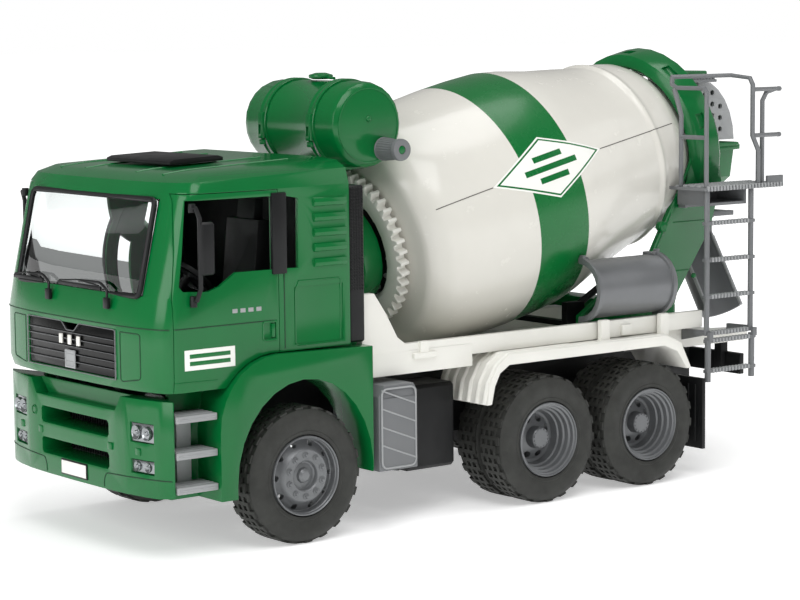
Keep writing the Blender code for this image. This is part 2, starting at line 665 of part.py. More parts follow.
def make_pinion(chassis, axis):
    """Small gear on its own shaft, low on the right of the ring."""
    across = Vector((sin(DRUM_TILT), 0, cos(DRUM_TILT)))
    other = axis.cross(across)
    reach = TOOTH_MODULE * (RING_TEETH + PINION_TEETH) / 2 + PINION_CLEARANCE
    toward = across * cos(PINION_ANGLE) + other * sin(PINION_ANGLE)
    centre = DRUM_FOOT + toward * reach
    spin = pivot("pinion_pivot", centre, chassis, axis)
    ring_turns = PINION_ANGLE * RING_TEETH / (2 * pi)
    facing = (PINION_ANGLE + pi) * PINION_TEETH / (2 * pi)
    phase = HALF_TOOTH + facing + ring_turns
    pinion = gear(PINION_TEETH, 8.6, 12.6, 2.6, -9.5, -4.5, centre, axis, phase)
    node(pinion, "drive_pinion", "white_abs", spin)
    return centre


def pinion_centre():
    """Where the pinion's axis crosses the drum's foot plane."""
    axis = drum_axis()
    across = Vector((sin(DRUM_TILT), 0, cos(DRUM_TILT)))
    other = axis.cross(across)
    reach = TOOTH_MODULE * (RING_TEETH + PINION_TEETH) / 2 + PINION_CLEARANCE
    return DRUM_FOOT + (across * cos(PINION_ANGLE) + other * sin(PINION_ANGLE)) * reach


def make_front_bracket(chassis):
    """Green pedestal with the round bearing housing, a pinion shaft, and arms up to the tank."""
    axis = drum_axis()
    housing = turned([(0, -34), (24, -34), (31, -24), (31, -11.5), (7.6, -11.5), (7.6, -17), (0, -17)],
                     DRUM_FOOT, axis, 24)
    pedestal_outline = [(46, 84.2), (80, 84.2), (80, 110), (72, 128), (66, 146), (52, 146), (48, 120)]
    pedestal = prism(pedestal_outline, "y", -20, 20)
    mast = prism([(60, 140), (74, 135), (76, 190), (74, 203), (58, 203), (56, 192)], "y", -12.3, 12.3)
    shaft_centre = pinion_centre()
    web = rod(DRUM_FOOT + axis * -19, shaft_centre + axis * -19, 5.0, 10)
    boss = rod(shaft_centre + axis * -25, shaft_centre + axis * -12, 6.0, 12)
    shaft = rod(shaft_centre + axis * -20, shaft_centre + axis * -3.9, 2.2, 12)
    fuse(housing, pedestal, mast, web, boss, shaft)
    fuse(housing, box((44, 82), (-30, 30), (83.55, 87.5)))
    cut(housing, rod((TANK_X, -60, TANK_Z), (TANK_X, 60, TANK_Z), TANK_RADIUS + 1.4, TANK_SIDES))
    node(housing, "drum_front_bracket", "green_abs", chassis)


def make_tank(chassis):
    """Water tank across the truck with two straps, its filler cap, and the knob on its left end."""
    half, radius = TANK_HALF, TANK_RADIUS
    profile = [
        (0, -half), (radius - 3.6, -half), (radius - 1, -half + 2), (radius, -half + 6),
        (radius, half - 6), (radius - 1, half - 2), (radius - 3.6, half), (0, half),
    ]
    tank = turned(profile, (TANK_X, TANK_Y, TANK_Z), (0, 1, 0), TANK_SIDES)
    straps = [
        turned([(radius - 2, y - 3), (radius + 0.8, y - 3), (radius + 0.8, y + 3), (radius - 2, y + 3)],
               (TANK_X, TANK_Y, TANK_Z), (0, 1, 0), TANK_SIDES)
        for y in (-23.0, 23.0)
    ]
    fuse(tank, *straps)
    end = TANK_Y + half
    cut(tank, rod((KNOB_X, end - 9, KNOB_Z), (KNOB_X, end + 5, KNOB_Z), 3.3, 12))
    node(tank, "water_tank", "green_abs", chassis)
    cap = turned([(0, 24.7), (4.5, 24.7), (7, 25.6), (7, 27.2), (3, 28.4), (0, 28.4)],
                 (TANK_X, TANK_Y, TANK_Z), (0, 0, 1), 16)
    node(cap, "tank_cap", "green_abs", chassis)
    knob_spin = pivot("knob_pivot", (KNOB_X, end, KNOB_Z), chassis, (0, 1, 0))
    knob = turned([(0, -8), (2.9, -8), (2.9, 0.6), (6.6, 0.6), (6.5, 3), (5.2, 12), (6.1, 14), (6.1, 17.5),
                   (4.2, 17.5), (4.2, 15), (0, 15)], (KNOB_X, end, KNOB_Z), (0, 1, 0), 16)
    node(knob, "drive_knob", "grey_abs", knob_spin)


def make_rear_frame(chassis):
    """Green hoop round the drum's mouth on two side plates, with a tie between them."""
    axis = drum_axis()
    hoop = turned([(48.3, 220.5), (51, 218.2), (57, 221.5), (57, 238.5), (55.5, 240.5), (48.3, 240.5)],
                  DRUM_FOOT, axis, 32)
    outline = [
        (-95, 93.6), (-95, 100.5), (-118, 115), (-140, 127), (-153, 132), (-170, 160), (-187, 189),
        (-192, 212), (-203, 214), (-211, 205), (-214, 176), (-204.5, 147), (-176, 108), (-171, 93.6),
    ]
    clearance = [(0, 120), (72.5, 120), (59, 186), (59.6, 191), (58, 195.5), (55.4, 210.4), (51.6, 217.5), (48.3, 219.8),
                 (48.3, 250), (0, 250)]
    for _, sign in sides():
        plate = prism(outline, "y", *sorted((sign * 47, sign * 50.4)))
        cut(plate, turned(clearance, DRUM_FOOT, axis, 32))
        rib = pipe([(-141, sign * 50.2, 126), (-153.5, sign * 50.2, 131.5), (-170, sign * 50.2, 158)], 1.4)
        boss = rod((-163, sign * 48, 150), (-163, sign * 52.5, 150), 3.2, 12)
        fuse(hoop, plate, rib, boss)
    fuse(hoop, box((-176, -160), (-48.5, 48.5), (94, 101)))
    node(hoop, "drum_rear_frame", "green_abs", chassis)
    stay = box((-99, -93), (-41.5, 41.5), (93.4, 96.5))
    for _, sign in sides():
        stay_foot = box((-106, -92), sorted((sign * 37.5, sign * 42.5)), (93.4, 108))
        strut = rod((-99, sign * 40, 104), (-137, sign * 40, 124), 2.2, 8)
        fuse(stay, stay_foot, strut)
    node(stay, "drum_stay", "black_abs", chassis)


def make_hopper(chassis):
    """Green filling hopper behind the hoop, open above and below, with a perforated grey hood."""
    sections = [
        # height, half width, rear x, front x
        (157.5, 9, -245, -227), (163, 9.5, -245, -226.5), (176, 26, -247, -217), (196, 27, -249.5, -214),
    ]
    wall = 2.0
    hopper = stacked([walled(section, 0) for section in sections])
    lip = prism([(-252, 193.3), (-252, 196.5), (-213.5, 194.6), (-213.5, 191.4)], "y", -29.5, 29.5)
    fuse(hopper, lip)
    inside = [(150, *sections[0][1:]), *sections[1:3], (210, 27.5, -251, -213)]
    cut(hopper, stacked([walled(section, wall) for section in inside]))
    node(hopper, "hopper", "green_abs", chassis)
    make_hood(chassis)


def walled(section, wall):
    """The four corners of one height's rectangle, drawn in by a wall's thickness."""
    z, half, rear_x, front_x = section
    rear_x, front_x, half = rear_x + wall, front_x - wall, half - wall
    return [(rear_x, -half, z), (front_x, -half, z), (front_x, half, z), (rear_x, half, z)]


def stacked(rings):
    """A solid through four-cornered rings, from the first to the last."""
    bm = bmesh.new()
    loops = []
    for ring in rings:
        verts = [bm.verts.new(co) for co in ring]
        loops.append((verts, [bm.edges.new((a, b)) for a, b in zip(verts, verts[1:] + verts[:1])]))
    for (_, low), (_, high) in zip(loops, loops[1:]):
        bmesh.ops.bridge_loops(bm, edges=low + high)
    bm.faces.new(loops[0][0])
    bm.faces.new(loops[-1][0])
    return object_of(bm, "stack")


def make_hood(chassis):
    """Perforated guard over the hopper: two cheeks and a back that curves over."""
    back = [(x, z) for x, z in arc((-214, 199), (34, 40), 180, 112, 5)]
    outline = [(-216, 199.5)] + [(x, max(z, 199.8)) for x, z in back] + [(-216, 237)]
    hood = prism(outline, "y", -28, 28)
    inner = [(-210, 195)] + [(x + 1.8, z if i else 195) for i, (x, z) in enumerate(back)] + [(-210, 237)]
    inner = [(x, z - (1.8 if i > 1 else 0)) for i, (x, z) in enumerate(inner)]
    cut(hood, prism(inner, "y", -26.2, 26.2))
    for row in range(4):
        for column in range(3):
            x, z = -221.5 - 7.0 * column, 206.5 + 7.2 * row
            if column == 2 and row == 3:
                continue
            cut(hood, rod((x, -30, z + 1.5 * (column % 2)), (x, 30, z + 1.5 * (column % 2)), 1.9, 6))
    node(hood, "hopper_guard", "grey_abs", chassis)


def make_platform(chassis):
    """Standing platform with its box, handrails and the fixed part of the ladder."""
    plate = box((-233.5, -165.5), (54, 84.5), (PLATFORM_Z, PLATFORM_Z + 1.8))
    toe = box((-233.5, -219.8), (82.5, 84.3), (PLATFORM_Z, PLATFORM_Z + 7))
    tray = box((-205.5, -171.5), (55, 80.0), (PLATFORM_Z - 9.5, PLATFORM_Z + 0.5))
    fuse(plate, toe, tray)
    cut(plate, box((-203.7, -173.3), (56.8, 90), (PLATFORM_Z - 7.7, PLATFORM_Z - 0.6)))
    bracket = box((-213, -176), (51.2, 57), (PLATFORM_Z - 12, PLATFORM_Z + 1))
    cut(bracket, box((-211, -178), (53, 60), (PLATFORM_Z - 14, PLATFORM_Z - 2)))
    fuse(plate, bracket)
    node(plate, "platform", "grey_abs", chassis)
    make_handrail(chassis)
    make_ladder(chassis)


def make_handrail(chassis):
    """Round grey rails on the platform: a front frame, an upper loop and a rear loop."""
    top = PLATFORM_Z + 2.15
    near, far = 82.5, 61.0
    rails = [
        [(-168.5, near, top), (-168.5, near, 232), (-169.5, near - 3, 234.5), (-169.5, 56, 234.5), (-169.5, 52, 236.5),
         (-169.5, 52, 241)],
        [(-168.5, far, top), (-168.5, far, 218), (-168.5, 55, 234)],
        [(-168.5, near, 205), (-168.5, far, 205)],
        [(-169.5, 51, 241), (-206, 66, 241.5), (-208, 80, 240), (-208, near, 236), (-208, near, 205),
         (-213, near, 196), (-213, near, top)],
        [(-208, near, 233), (-232, near, 233)],
        [(-208, near, 205), (-232, near, 205)],
        [(-217.5, near - 1, top), (-217.5, near - 1, 226), (-221, near - 1, 231), (-228, near, 233)],
    ]
    parts = [pipe(path, 1.5) for path in rails]
    node(fuse(*parts), "handrail", "grey_abs", chassis)


def ladder_rung(z, y):
    """One flat serrated rung between the rails."""
    return box((LADDER_RAILS_X[1] - 2.2, LADDER_RAILS_X[0] + 2.2), (y - 1.6, y + 1.6), (z - 1.0, z + 1.0))


def make_ladder(chassis):
    """Upper ladder fixed under the platform, and the lower part that folds up on its outer side."""
    top_rung, y = 153.2, LADDER_Y
    low = top_rung - 3 * LADDER_PITCH
    rails = [rod((x, y, low - 1), (x, y, PLATFORM_Z - GAP), 1.7, 8) for x in LADDER_RAILS_X]
    upper = fuse(*rails, *[ladder_rung(top_rung - i * LADDER_PITCH, y) for i in range(4)])
    stays = [
        prism([(y - 1, low + 2), (y - 1, low - 1), (61, low - 5.5), (61, low + 1.5)], "x", x - 1.2, x + 1.2)
        for x in (LADDER_RAILS_X[0] + 0.5, LADDER_RAILS_X[1] - 0.5)
    ]
    fuse(upper, *stays)
    cut(upper, box((-240, -150), (55, 62.4), (70, 100)))
    node(upper, "ladder_upper", "grey_abs", chassis)
    fold = pivot("ladder_pivot", (-189, LADDER_FOLD_Y, LADDER_FOLD_Z), chassis, (1, 0, 0))
    out_y, bottom = y + 1.2, 57.0
    rails = [rod((x, out_y, bottom), (x, out_y, low - 2.5), 1.9, 8) for x in LADDER_RAILS_X]
    knuckle = [(out_y - 1.5, low - 3.8), (86.3, low - 3.8), (86.3, low + 1.2), (84.1, low + 1.2),
               (84.1, low - 1.8), (out_y - 1.5, low - 2.2)]
    knuckle_top = [prism(knuckle, "x", x - 1.6, x + 1.6) for x in LADDER_RAILS_X]
    rungs = [ladder_rung(63.5, out_y), ladder_rung(low - 4.4, out_y)]
    lower = fuse(*rails, *knuckle_top, *rungs)
    node(lower, "ladder_lower", "grey_abs", fold)


def half_pipe(start, direction, opening, radius, wall, length, steps=10, flare=0.0):
    """A trough: half a ring swept along a direction, its open side facing the opening vector."""
    direction, opening = Vector(direction).normalized(), Vector(opening).normalized()
    side = direction.cross(opening)
    bm = bmesh.new()
    section = [(radius, pi * i / steps) for i in range(steps + 1)]
    section += [(radius - wall, pi - pi * i / steps) for i in range(steps + 1)]
    verts = [
        bm.verts.new(Vector(start) + side * (r * cos(a)) - opening * (r * sin(a))) for r, a in section
    ]
    face = bm.faces.new(verts)
    made = bmesh.ops.extrude_face_region(bm, geom=[face])
    moved = [item for item in made["geom"] if isinstance(item, bmesh.types.BMVert)]
    bmesh.ops.translate(bm, vec=direction * length, verts=moved)
    return object_of(bm, "trough")


def make_chutes(chassis):
    """Swivelling discharge chute below the hopper, and the spare extension on the left side."""
    swivel = pivot("chute_pivot", (CHUTE_X, 0, 0), chassis)
    fall = Vector((0, cos(CHUTE_FALL), -sin(CHUTE_FALL)))
    opening = Vector((0, sin(CHUTE_FALL), cos(CHUTE_FALL)))
    chute = half_pipe((CHUTE_X, -2, CHUTE_TOP_Z), fall, opening, CHUTE_RADIUS, 1.8, CHUTE_LENGTH)
    collar = turned([(13.4, 149), (16.2, 149), (16.2, 152.8), (13.4, 152.8)], (CHUTE_X, 0, 0), (0, 0, 1), 20)
    cheeks = [
        box(sorted((CHUTE_X + s * 13.8, CHUTE_X + s * 16.1)), (-5, 5), (139, 151)) for s in (1, -1)
    ]
    fuse(chute, collar, *cheeks)
    cut(chute, rod((CHUTE_X, 0, 141), (CHUTE_X, 0, 160), 13.4, 20))
    node(chute, "chute", "grey_abs", swivel)
    make_chute_bracket(chassis)
    make_extension(chassis)


def make_chute_bracket(chassis):
    """Grey turning ring under the hopper, on a yoke that reaches forward to the two side plates."""
    low, high = 153.2, 156.4
    ring = turned([(13.4, low), (16.2, low), (16.2, high), (13.4, high)], (CHUTE_X, 0, 0), (0, 0, 1), 20)
    yoke = box((-229, -222.6), (-46.6, 46.6), (low + 0.3, high - 0.3))
    arms = [box((-229, -201), sorted((s * 42.2, s * 46.6)), (low + 0.1, high - 0.1)) for s in (1, -1)]
    bracket = fuse(yoke, ring, *arms)
    cut(bracket, rod((CHUTE_X, 0, 150), (CHUTE_X, 0, 160), 13.4, 20))
    node(bracket, "chute_bracket", "grey_abs", chassis)


def make_extension(chassis):
    """Silver half pipe stored on the left fender's lugs, lifted off outwards."""
    y, z, radius = 65.0, 118.3, 17.5
    lift = pivot("extension_pivot", (-112, y, z), chassis, (0, 0.5, 0.87))
    trough = half_pipe((-143, y, z), (1, 0, 0), (0, -1, 0), radius, 1.8, 62.0, steps=12)
    clamps = []
    for x in (-143.4, -83.6):
        clamps.append(half_pipe((x, y, z), (1, 0, 0), (0, -1, 0), radius + 1.7, 3.0, 3.0, steps=12))
        clamps.append(box((x + 0.2, x + 2.8), (y + 0.8, y + 3.6), (z + 15.5, z + 20.6)))
    node(fuse(trough, *clamps), "chute_extension", "silver_abs", lift)


def main():
    """Builds the truck, body by body."""
    clear_scene()
    chassis = pivot("chassis_root", (-DATUM_X, 0, 0), None)
    make_chassis(chassis)
    make_fuel_tanks(chassis)
    make_bumper(chassis)
    make_front_mudguards(chassis)
    make_subframe(chassis)
    make_rear_mudguards(chassis)
    make_rear_lamps(chassis)
    make_wheelset("front_axle", FRONT_AXLE_X, FRONT_TRACK_OUTER, FRONT_TYRE_WIDTH, False, chassis)
    make_wheelset("middle_axle", MIDDLE_AXLE_X, REAR_TRACK_OUTER, TWIN_TYRE_WIDTH, True, chassis)
    make_wheelset("rear_axle", REAR_AXLE_X, REAR_TRACK_OUTER, TWIN_TYRE_WIDTH, True, chassis)
    make_cab(chassis)
    make_drum(chassis)
    make_front_bracket(chassis)
    make_tank(chassis)
    make_rear_frame(chassis)
    make_hopper(chassis)
    make_platform(chassis)
    make_chutes(chassis)


main()
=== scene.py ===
"""Toy cement mixer truck: the shown model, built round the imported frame.

Sizes are millimetres from the drawing datum on the ground; `at` turns them into frame metres.
"""

import json
import logging
from collections.abc import Callable, Sequence
from dataclasses import dataclass, field
from enum import Enum
from math import atan2, cos, pi, radians, sin, tau

import bpy
from mathutils import Matrix, Vector

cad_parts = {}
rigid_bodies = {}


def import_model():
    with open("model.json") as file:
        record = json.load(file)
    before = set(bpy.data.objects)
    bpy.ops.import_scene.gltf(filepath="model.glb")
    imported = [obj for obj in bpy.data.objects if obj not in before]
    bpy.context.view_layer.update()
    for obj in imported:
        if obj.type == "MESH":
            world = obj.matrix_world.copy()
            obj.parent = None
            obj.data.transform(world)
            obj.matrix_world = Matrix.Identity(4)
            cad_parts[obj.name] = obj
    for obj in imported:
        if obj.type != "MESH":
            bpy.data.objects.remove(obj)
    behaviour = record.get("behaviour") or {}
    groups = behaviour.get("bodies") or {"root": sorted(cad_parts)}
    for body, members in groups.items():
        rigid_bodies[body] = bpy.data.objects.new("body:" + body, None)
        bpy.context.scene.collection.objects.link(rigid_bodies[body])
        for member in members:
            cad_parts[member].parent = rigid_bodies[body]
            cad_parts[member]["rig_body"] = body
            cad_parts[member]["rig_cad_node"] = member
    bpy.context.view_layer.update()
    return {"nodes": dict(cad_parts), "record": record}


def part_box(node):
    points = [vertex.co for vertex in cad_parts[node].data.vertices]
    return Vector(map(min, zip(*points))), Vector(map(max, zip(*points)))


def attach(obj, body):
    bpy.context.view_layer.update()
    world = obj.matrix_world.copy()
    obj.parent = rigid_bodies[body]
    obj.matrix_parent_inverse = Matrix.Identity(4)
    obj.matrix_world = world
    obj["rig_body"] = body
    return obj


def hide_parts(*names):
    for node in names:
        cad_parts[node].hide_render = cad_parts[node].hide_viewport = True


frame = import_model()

MM = 0.001
DATUM_X = 14.0
DATUM_Y_AXIS = Vector((0, 1, 0))
LOG = logging.getLogger("mixer")
Point = tuple[float, float, float]
Span = tuple[float, float]


class Body(str, Enum):
    """The moving groups that are named here; a door's or a mirror's name follows from its side."""

    CHASSIS = "chassis"
    FRONT_WHEELS = "front_wheels"
    MIDDLE_WHEELS = "middle_wheels"
    REAR_WHEELS = "rear_wheels"
    CAB = "cab"
    DRUM = "drum"
    KNOB = "drive_knob"
    CHUTE = "chute"
    EXTENSION = "chute_extension"
    LADDER = "ladder_lower"


class Side(Enum):
    """Left is +Y, seen from the driver's seat."""

    LEFT = 1
    RIGHT = -1

    @property
    def word(self) -> str:
        """The side's name as the nodes spell it."""
        return self.name.lower()


# ---------------------------------------------------------------- places and selection


def at(x: float, y: float, z: float) -> Vector:
    """A point of the drawing, in the frame.

    Args:
        x: Millimetres ahead of the datum.
        y: Millimetres to the truck's left.
        z: Millimetres above the ground.

    Returns:
        The same point in metres.
    """
    return Vector(((x + DATUM_X) * MM, y * MM, z * MM))


def clear_selection() -> None:
    """Object mode with nothing selected."""
    if bpy.context.object is not None and bpy.context.object.mode != "OBJECT":
        bpy.ops.object.mode_set(mode="OBJECT")
    bpy.ops.object.select_all(action="DESELECT")


def pick(obj: bpy.types.Object) -> bpy.types.Object:
    """Makes one object the only selected and active one.

    Args:
        obj: The piece.

    Returns:
        The piece.
    """
    clear_selection()
    obj.select_set(True)
    bpy.context.view_layer.objects.active = obj
    return obj


def settled(name: str) -> bpy.types.Object:
    """Names the active object and puts its place into its mesh.

    Args:
        name: The piece's name.

    Returns:
        The piece, its object at the origin.
    """
    obj = pick(bpy.context.view_layer.objects.active)
    obj.name = name
    obj.data.name = name
    bpy.ops.object.transform_apply(location=True, rotation=True, scale=True)
    return obj


def choose_faces(obj: bpy.types.Object, test: Callable[[Vector, Vector], bool]) -> None:
    """Leaves the object in edit mode with the faces selected that pass the test.

    Args:
        obj: The piece.
        test: Takes a face's centre and normal.
    """
    pick(obj)
    bpy.ops.object.mode_set(mode="EDIT")
    bpy.ops.mesh.select_mode(type="FACE")
    bpy.ops.mesh.select_all(action="DESELECT")
    bpy.ops.object.mode_set(mode="OBJECT")
    for face in obj.data.polygons:
        face.select = test(face.center, face.normal)
    bpy.ops.object.mode_set(mode="EDIT")


def applied(obj: bpy.types.Object, kind: str, **settings: object) -> bpy.types.Object:
    """Adds a modifier with its settings and applies it.

    Args:
        obj: The piece.
        kind: The modifier's type.
        settings: Its attributes.

    Returns:
        The piece.
    """
    pick(obj)
    modifier = obj.modifiers.new(kind.lower(), kind)
    for key, value in settings.items():
        setattr(modifier, key, value)
    bpy.ops.object.modifier_apply(modifier=modifier.name)
    return obj


def rounded(obj: bpy.types.Object, width: float, steps: int = 2, angle: float = 35) -> bpy.types.Object:
    """Rounds the sharp edges, as a mould's do.

    Args:
        obj: The piece.
        width: Width of the rounding, in millimetres.
        steps: Rows of faces across it.
        angle: Edges sharper than this are rounded, in degrees.

    Returns:
        The piece.
    """
    return applied(obj, "BEVEL", width=width * MM, segments=steps, limit_method="ANGLE",
                   angle_limit=radians(angle), use_clamp_overlap=True)


def joined(name: str, pieces: Sequence[bpy.types.Object]) -> bpy.types.Object:
    """Several pieces as one named object.

    Args:
        name: The whole's name.
        pieces: What goes into it.

    Returns:
        The whole.
    """
    clear_selection()
    for piece in pieces:
        piece.select_set(True)
    bpy.context.view_layer.objects.active = pieces[0]
    if len(pieces) > 1:
        bpy.ops.object.join()
    return settled(name)


def own_copy(obj: bpy.types.Object, move: Matrix) -> bpy.types.Object:
    """A copy with its own mesh, moved in its mesh.

    Args:
        obj: The piece to copy.
        move: The copy's place from the piece's.

    Returns:
        The copy.
    """
    copy = obj.copy()
    copy.data = obj.data.copy()
    bpy.context.scene.collection.objects.link(copy)
    copy.data.transform(move)
    return copy


def ring(name: str, obj: bpy.types.Object, count: int, centre: Vector, axis: Vector,
         start: float = 0.0) -> bpy.types.Object:
    """One piece repeated round an axis.

    Args:
        name: The finished object's name.
        obj: The piece that is repeated, used up.
        count: How many stand round the axis.
        centre: A point on the axis.
        axis: Its direction.
        start: The first one's angle from where the piece was modelled, in radians.

    Returns:
        All copies as one object.
    """
    copies = []
    for i in range(count):
        turn = Matrix.Rotation(start + tau * i / count, 4, axis)
        copies.append(own_copy(obj, Matrix.Translation(centre) @ turn @ Matrix.Translation(-centre)))
    bpy.data.objects.remove(obj)
    return joined(name, copies)


def mirrored(name: str, obj: bpy.types.Object) -> bpy.types.Object:
    """The same piece for the truck's other side, facing out.

    Args:
        name: The copy's name.
        obj: The piece on the first side.

    Returns:
        The copy.
    """
    copy = own_copy(obj, Matrix.Scale(-1, 4, DATUM_Y_AXIS))
    pick(copy)
    copy.name = name
    bpy.ops.object.mode_set(mode="EDIT")
    bpy.ops.mesh.select_all(action="SELECT")
    bpy.ops.mesh.flip_normals()
    bpy.ops.object.mode_set(mode="OBJECT")
    return copy


# ---------------------------------------------------------------- shapes


def block(name: str, x: Span, y: Span, z: Span, bevel: float = 0.6, steps: int = 2) -> bpy.types.Object:
    """A moulded block with rounded edges.

    Args:
        name: The object's name.
        x: Lowest and highest X.
        y: Lowest and highest Y.
        z: Lowest and highest Z.
        bevel: Rounding of every edge.
        steps: Rows of faces across the rounding.

    Returns:
        The block.
    """
    clear_selection()
    low, high = at(min(x), min(y), min(z)), at(max(x), max(y), max(z))
    bpy.ops.mesh.primitive_cube_add(size=1, location=(low + high) / 2, scale=high - low)
    obj = settled(name)
    if bevel:
        bpy.ops.object.mode_set(mode="EDIT")
        bpy.ops.mesh.select_all(action="SELECT")
        bpy.ops.mesh.bevel(offset=bevel * MM, segments=steps, affect="EDGES")
        bpy.ops.object.mode_set(mode="OBJECT")
    return obj


def barrel(name: str, start: Vector, end: Vector, radius: float, sides: int = 24,
           bevel: float = 0.4) -> bpy.types.Object:
    """A round pin between two points, its ends rounded.

    Args:
        name: The object's name.
        start: Centre of one end, in the frame.
        end: Centre of the other end.
        radius: In millimetres.
        sides: Faces round it.
        bevel: Rounding at both ends, in millimetres.

    Returns:
        The pin.
    """
    clear_selection()
    along = end - start
    bpy.ops.mesh.primitive_cylinder_add(
        vertices=sides, radius=radius * MM, depth=along.length, location=(start + end) / 2,
        rotation=along.to_track_quat("Z", "Y").to_euler(),
    )
    obj = settled(name)
    if bevel:
        bpy.ops.object.mode_set(mode="EDIT")
        bpy.ops.mesh.select_all(action="DESELECT")
        bpy.ops.mesh.edges_select_sharp(sharpness=radians(60))
        bpy.ops.mesh.bevel(offset=bevel * MM, segments=2, affect="EDGES")
        bpy.ops.object.mode_set(mode="OBJECT")
    return obj


def trace(name: str, points: Sequence[Vector]) -> bpy.types.Object:
    """A line of edges, drawn by extruding one point from each place to the next.

    Args:
        name: The object's name.
        points: The line's corners, in the frame.

    Returns:
        A mesh of edges, left in edit mode with its last point selected.
    """
    clear_selection()
    bpy.ops.mesh.primitive_plane_add(size=MM, location=points[0])
    bpy.context.object.name = name
    bpy.ops.object.transform_apply(location=True, rotation=True, scale=True)
    bpy.ops.object.mode_set(mode="EDIT")
    bpy.ops.mesh.select_mode(type="VERT")
    bpy.ops.mesh.select_all(action="SELECT")
    bpy.ops.mesh.merge(type="CENTER")
    for here, there in zip(points, points[1:]):
        bpy.ops.mesh.extrude_region_move(TRANSFORM_OT_translate={"value": there - here})
    return bpy.context.object


def turned(name: str, profile: Sequence[Span], foot: Vector, axis: Vector,
           steps: int = 64) -> bpy.types.Object:
    """A shape turned on a lathe: a line spun round an axis.

    Args:
        name: The object's name.
        profile: Pairs of radius and distance along the axis, in millimetres.
        foot: Where the distance is zero, in the frame.
        axis: Unit direction of the axis.
        steps: Faces round it.

    Returns:
        A closed shape, its faces pointing out.
    """
    out = (Vector((0, 0, 1)) - axis * axis.z).normalized()
    trace(name, [foot + out * (r * MM) + axis * (s * MM) for r, s in profile])
    bpy.ops.mesh.select_all(action="SELECT")
    bpy.ops.mesh.spin(steps=steps, angle=tau, center=foot, axis=axis)
    bpy.ops.mesh.select_all(action="SELECT")
    bpy.ops.mesh.remove_doubles(threshold=2e-6)
    bpy.ops.mesh.select_all(action="SELECT")
    bpy.ops.mesh.normals_make_consistent(inside=False)
    bpy.ops.object.mode_set(mode="OBJECT")
    return settled(name)


def plate(name: str, outline: Sequence[Vector], thickness: Vector, bevel: float = 0.0) -> bpy.types.Object:
    """A flat outline given a thickness.

    Args:
        name: The object's name.
        outline: Its corners in order, in the frame.
        thickness: From the first face to the second, in metres.
        bevel: Rounding of its edges, in millimetres.

    Returns:
        The plate.
    """
    trace(name, outline)
    bpy.ops.mesh.select_all(action="SELECT")
    bpy.ops.mesh.edge_face_add()
    bpy.ops.mesh.extrude_region_move(TRANSFORM_OT_translate={"value": thickness})
    bpy.ops.mesh.select_all(action="SELECT")
    bpy.ops.mesh.normals_make_consistent(inside=False)
    bpy.ops.object.mode_set(mode="OBJECT")
    obj = settled(name)
    return rounded(obj, bevel) if bevel else obj


def eased(points: Sequence[Vector], radius: float, steps: int = 5) -> list[Vector]:
    """A path with its corners rounded.

    Args:
        points: The corners, in the frame.
        radius: How far from each corner the bend starts, in millimetres.
        steps: Points along each bend.

    Returns:
        The path's points.
    """
    path = [points[0]]
    for before, corner, after in zip(points, points[1:], points[2:]):
        reach = min(radius * MM, (before - corner).length * 0.45, (after - corner).length * 0.45)
        enter = corner + (before - corner).normalized() * reach
        leave = corner + (after - corner).normalized() * reach
        for i in range(steps + 1):
            t = i / steps
            path.append(enter * (1 - t) ** 2 + corner * (2 * t * (1 - t)) + leave * t * t)
    path.append(points[-1])
    return path


def tube(name: str, points: Sequence[Vector], radius: float, onto: bpy.types.Object | None = None,
         towards: Vector | None = None, steps: int = 3, sink: float = 0.0) -> bpy.types.Object:
    """A round rod along a path, if wanted laid onto a surface first.

    Args:
        name: The object's name.
        points: The path, in the frame.
        radius: In millimetres.
        onto: The surface that the path is laid on.
        towards: The direction in which it is dropped onto that surface, or None for the nearest place.
        steps: Roundness of the section.
        sink: How far its middle lies under that surface, in millimetres.

    Returns:
        The rod.
    """
    obj = trace(name, points)
    bpy.ops.object.mode_set(mode="OBJECT")
    if onto is not None:
        applied(obj, "SUBSURF", levels=3, render_levels=3, subdivision_type="SIMPLE")
        if towards is None:
            applied(obj, "SHRINKWRAP", target=onto)
        else:
            bound = len(obj.data.vertices)
            for vertex in obj.data.vertices:
                hit, place, _, _ = onto.ray_cast(vertex.co, towards)
                if hit:
                    vertex.co = place + towards * sink * MM
                    bound -= 1
            if bound:
                LOG.warning("%s: %d points found no surface", name, bound)
    pick(obj)
    bpy.ops.object.convert(target="CURVE")
    curve = bpy.context.object
    curve.data.dimensions = "3D"
    curve.data.bevel_depth = radius * MM
    curve.data.bevel_resolution = steps
    curve.data.use_fill_caps = True
    bpy.ops.object.convert(target="MESH")
    bpy.ops.object.mode_set(mode="EDIT")
    bpy.ops.mesh.select_all(action="SELECT")
    bpy.ops.mesh.remove_doubles(threshold=1e-6)
    bpy.ops.mesh.normals_make_consistent(inside=False)
    bpy.ops.object.mode_set(mode="OBJECT")
    return settled(name)


def rows_of(name: str, obj: bpy.types.Object, repeats: Sequence[tuple[int, Vector]]) -> bpy.types.Object:
    """One piece repeated in rows by array modifiers.

    Args:
        name: The finished object's name.
        obj: The piece.
        repeats: For each direction, how many and the step in metres.

    Returns:
        The rows as one object.
    """
    for count, step in repeats:
        applied(obj, "ARRAY", count=count, use_relative_offset=False, use_constant_offset=True,
                constant_offset_displace=step)
    obj.name = name
    return obj


def facing(obj: bpy.types.Object, start: Vector, towards: Vector) -> Vector:
    """Where a straight line from a point first meets a piece, or the point itself."""
    hit, place, _, _ = obj.ray_cast(start, towards)
    return place if hit else start


def carved(obj: bpy.types.Object, *cutters: bpy.types.Object) -> bpy.types.Object:
    """The piece with the cutters' shapes taken out of it."""
    for cutter in cutters:
        applied(obj, "BOOLEAN", object=cutter, operation="DIFFERENCE", solver="EXACT")
        bpy.data.objects.remove(cutter)
    return obj


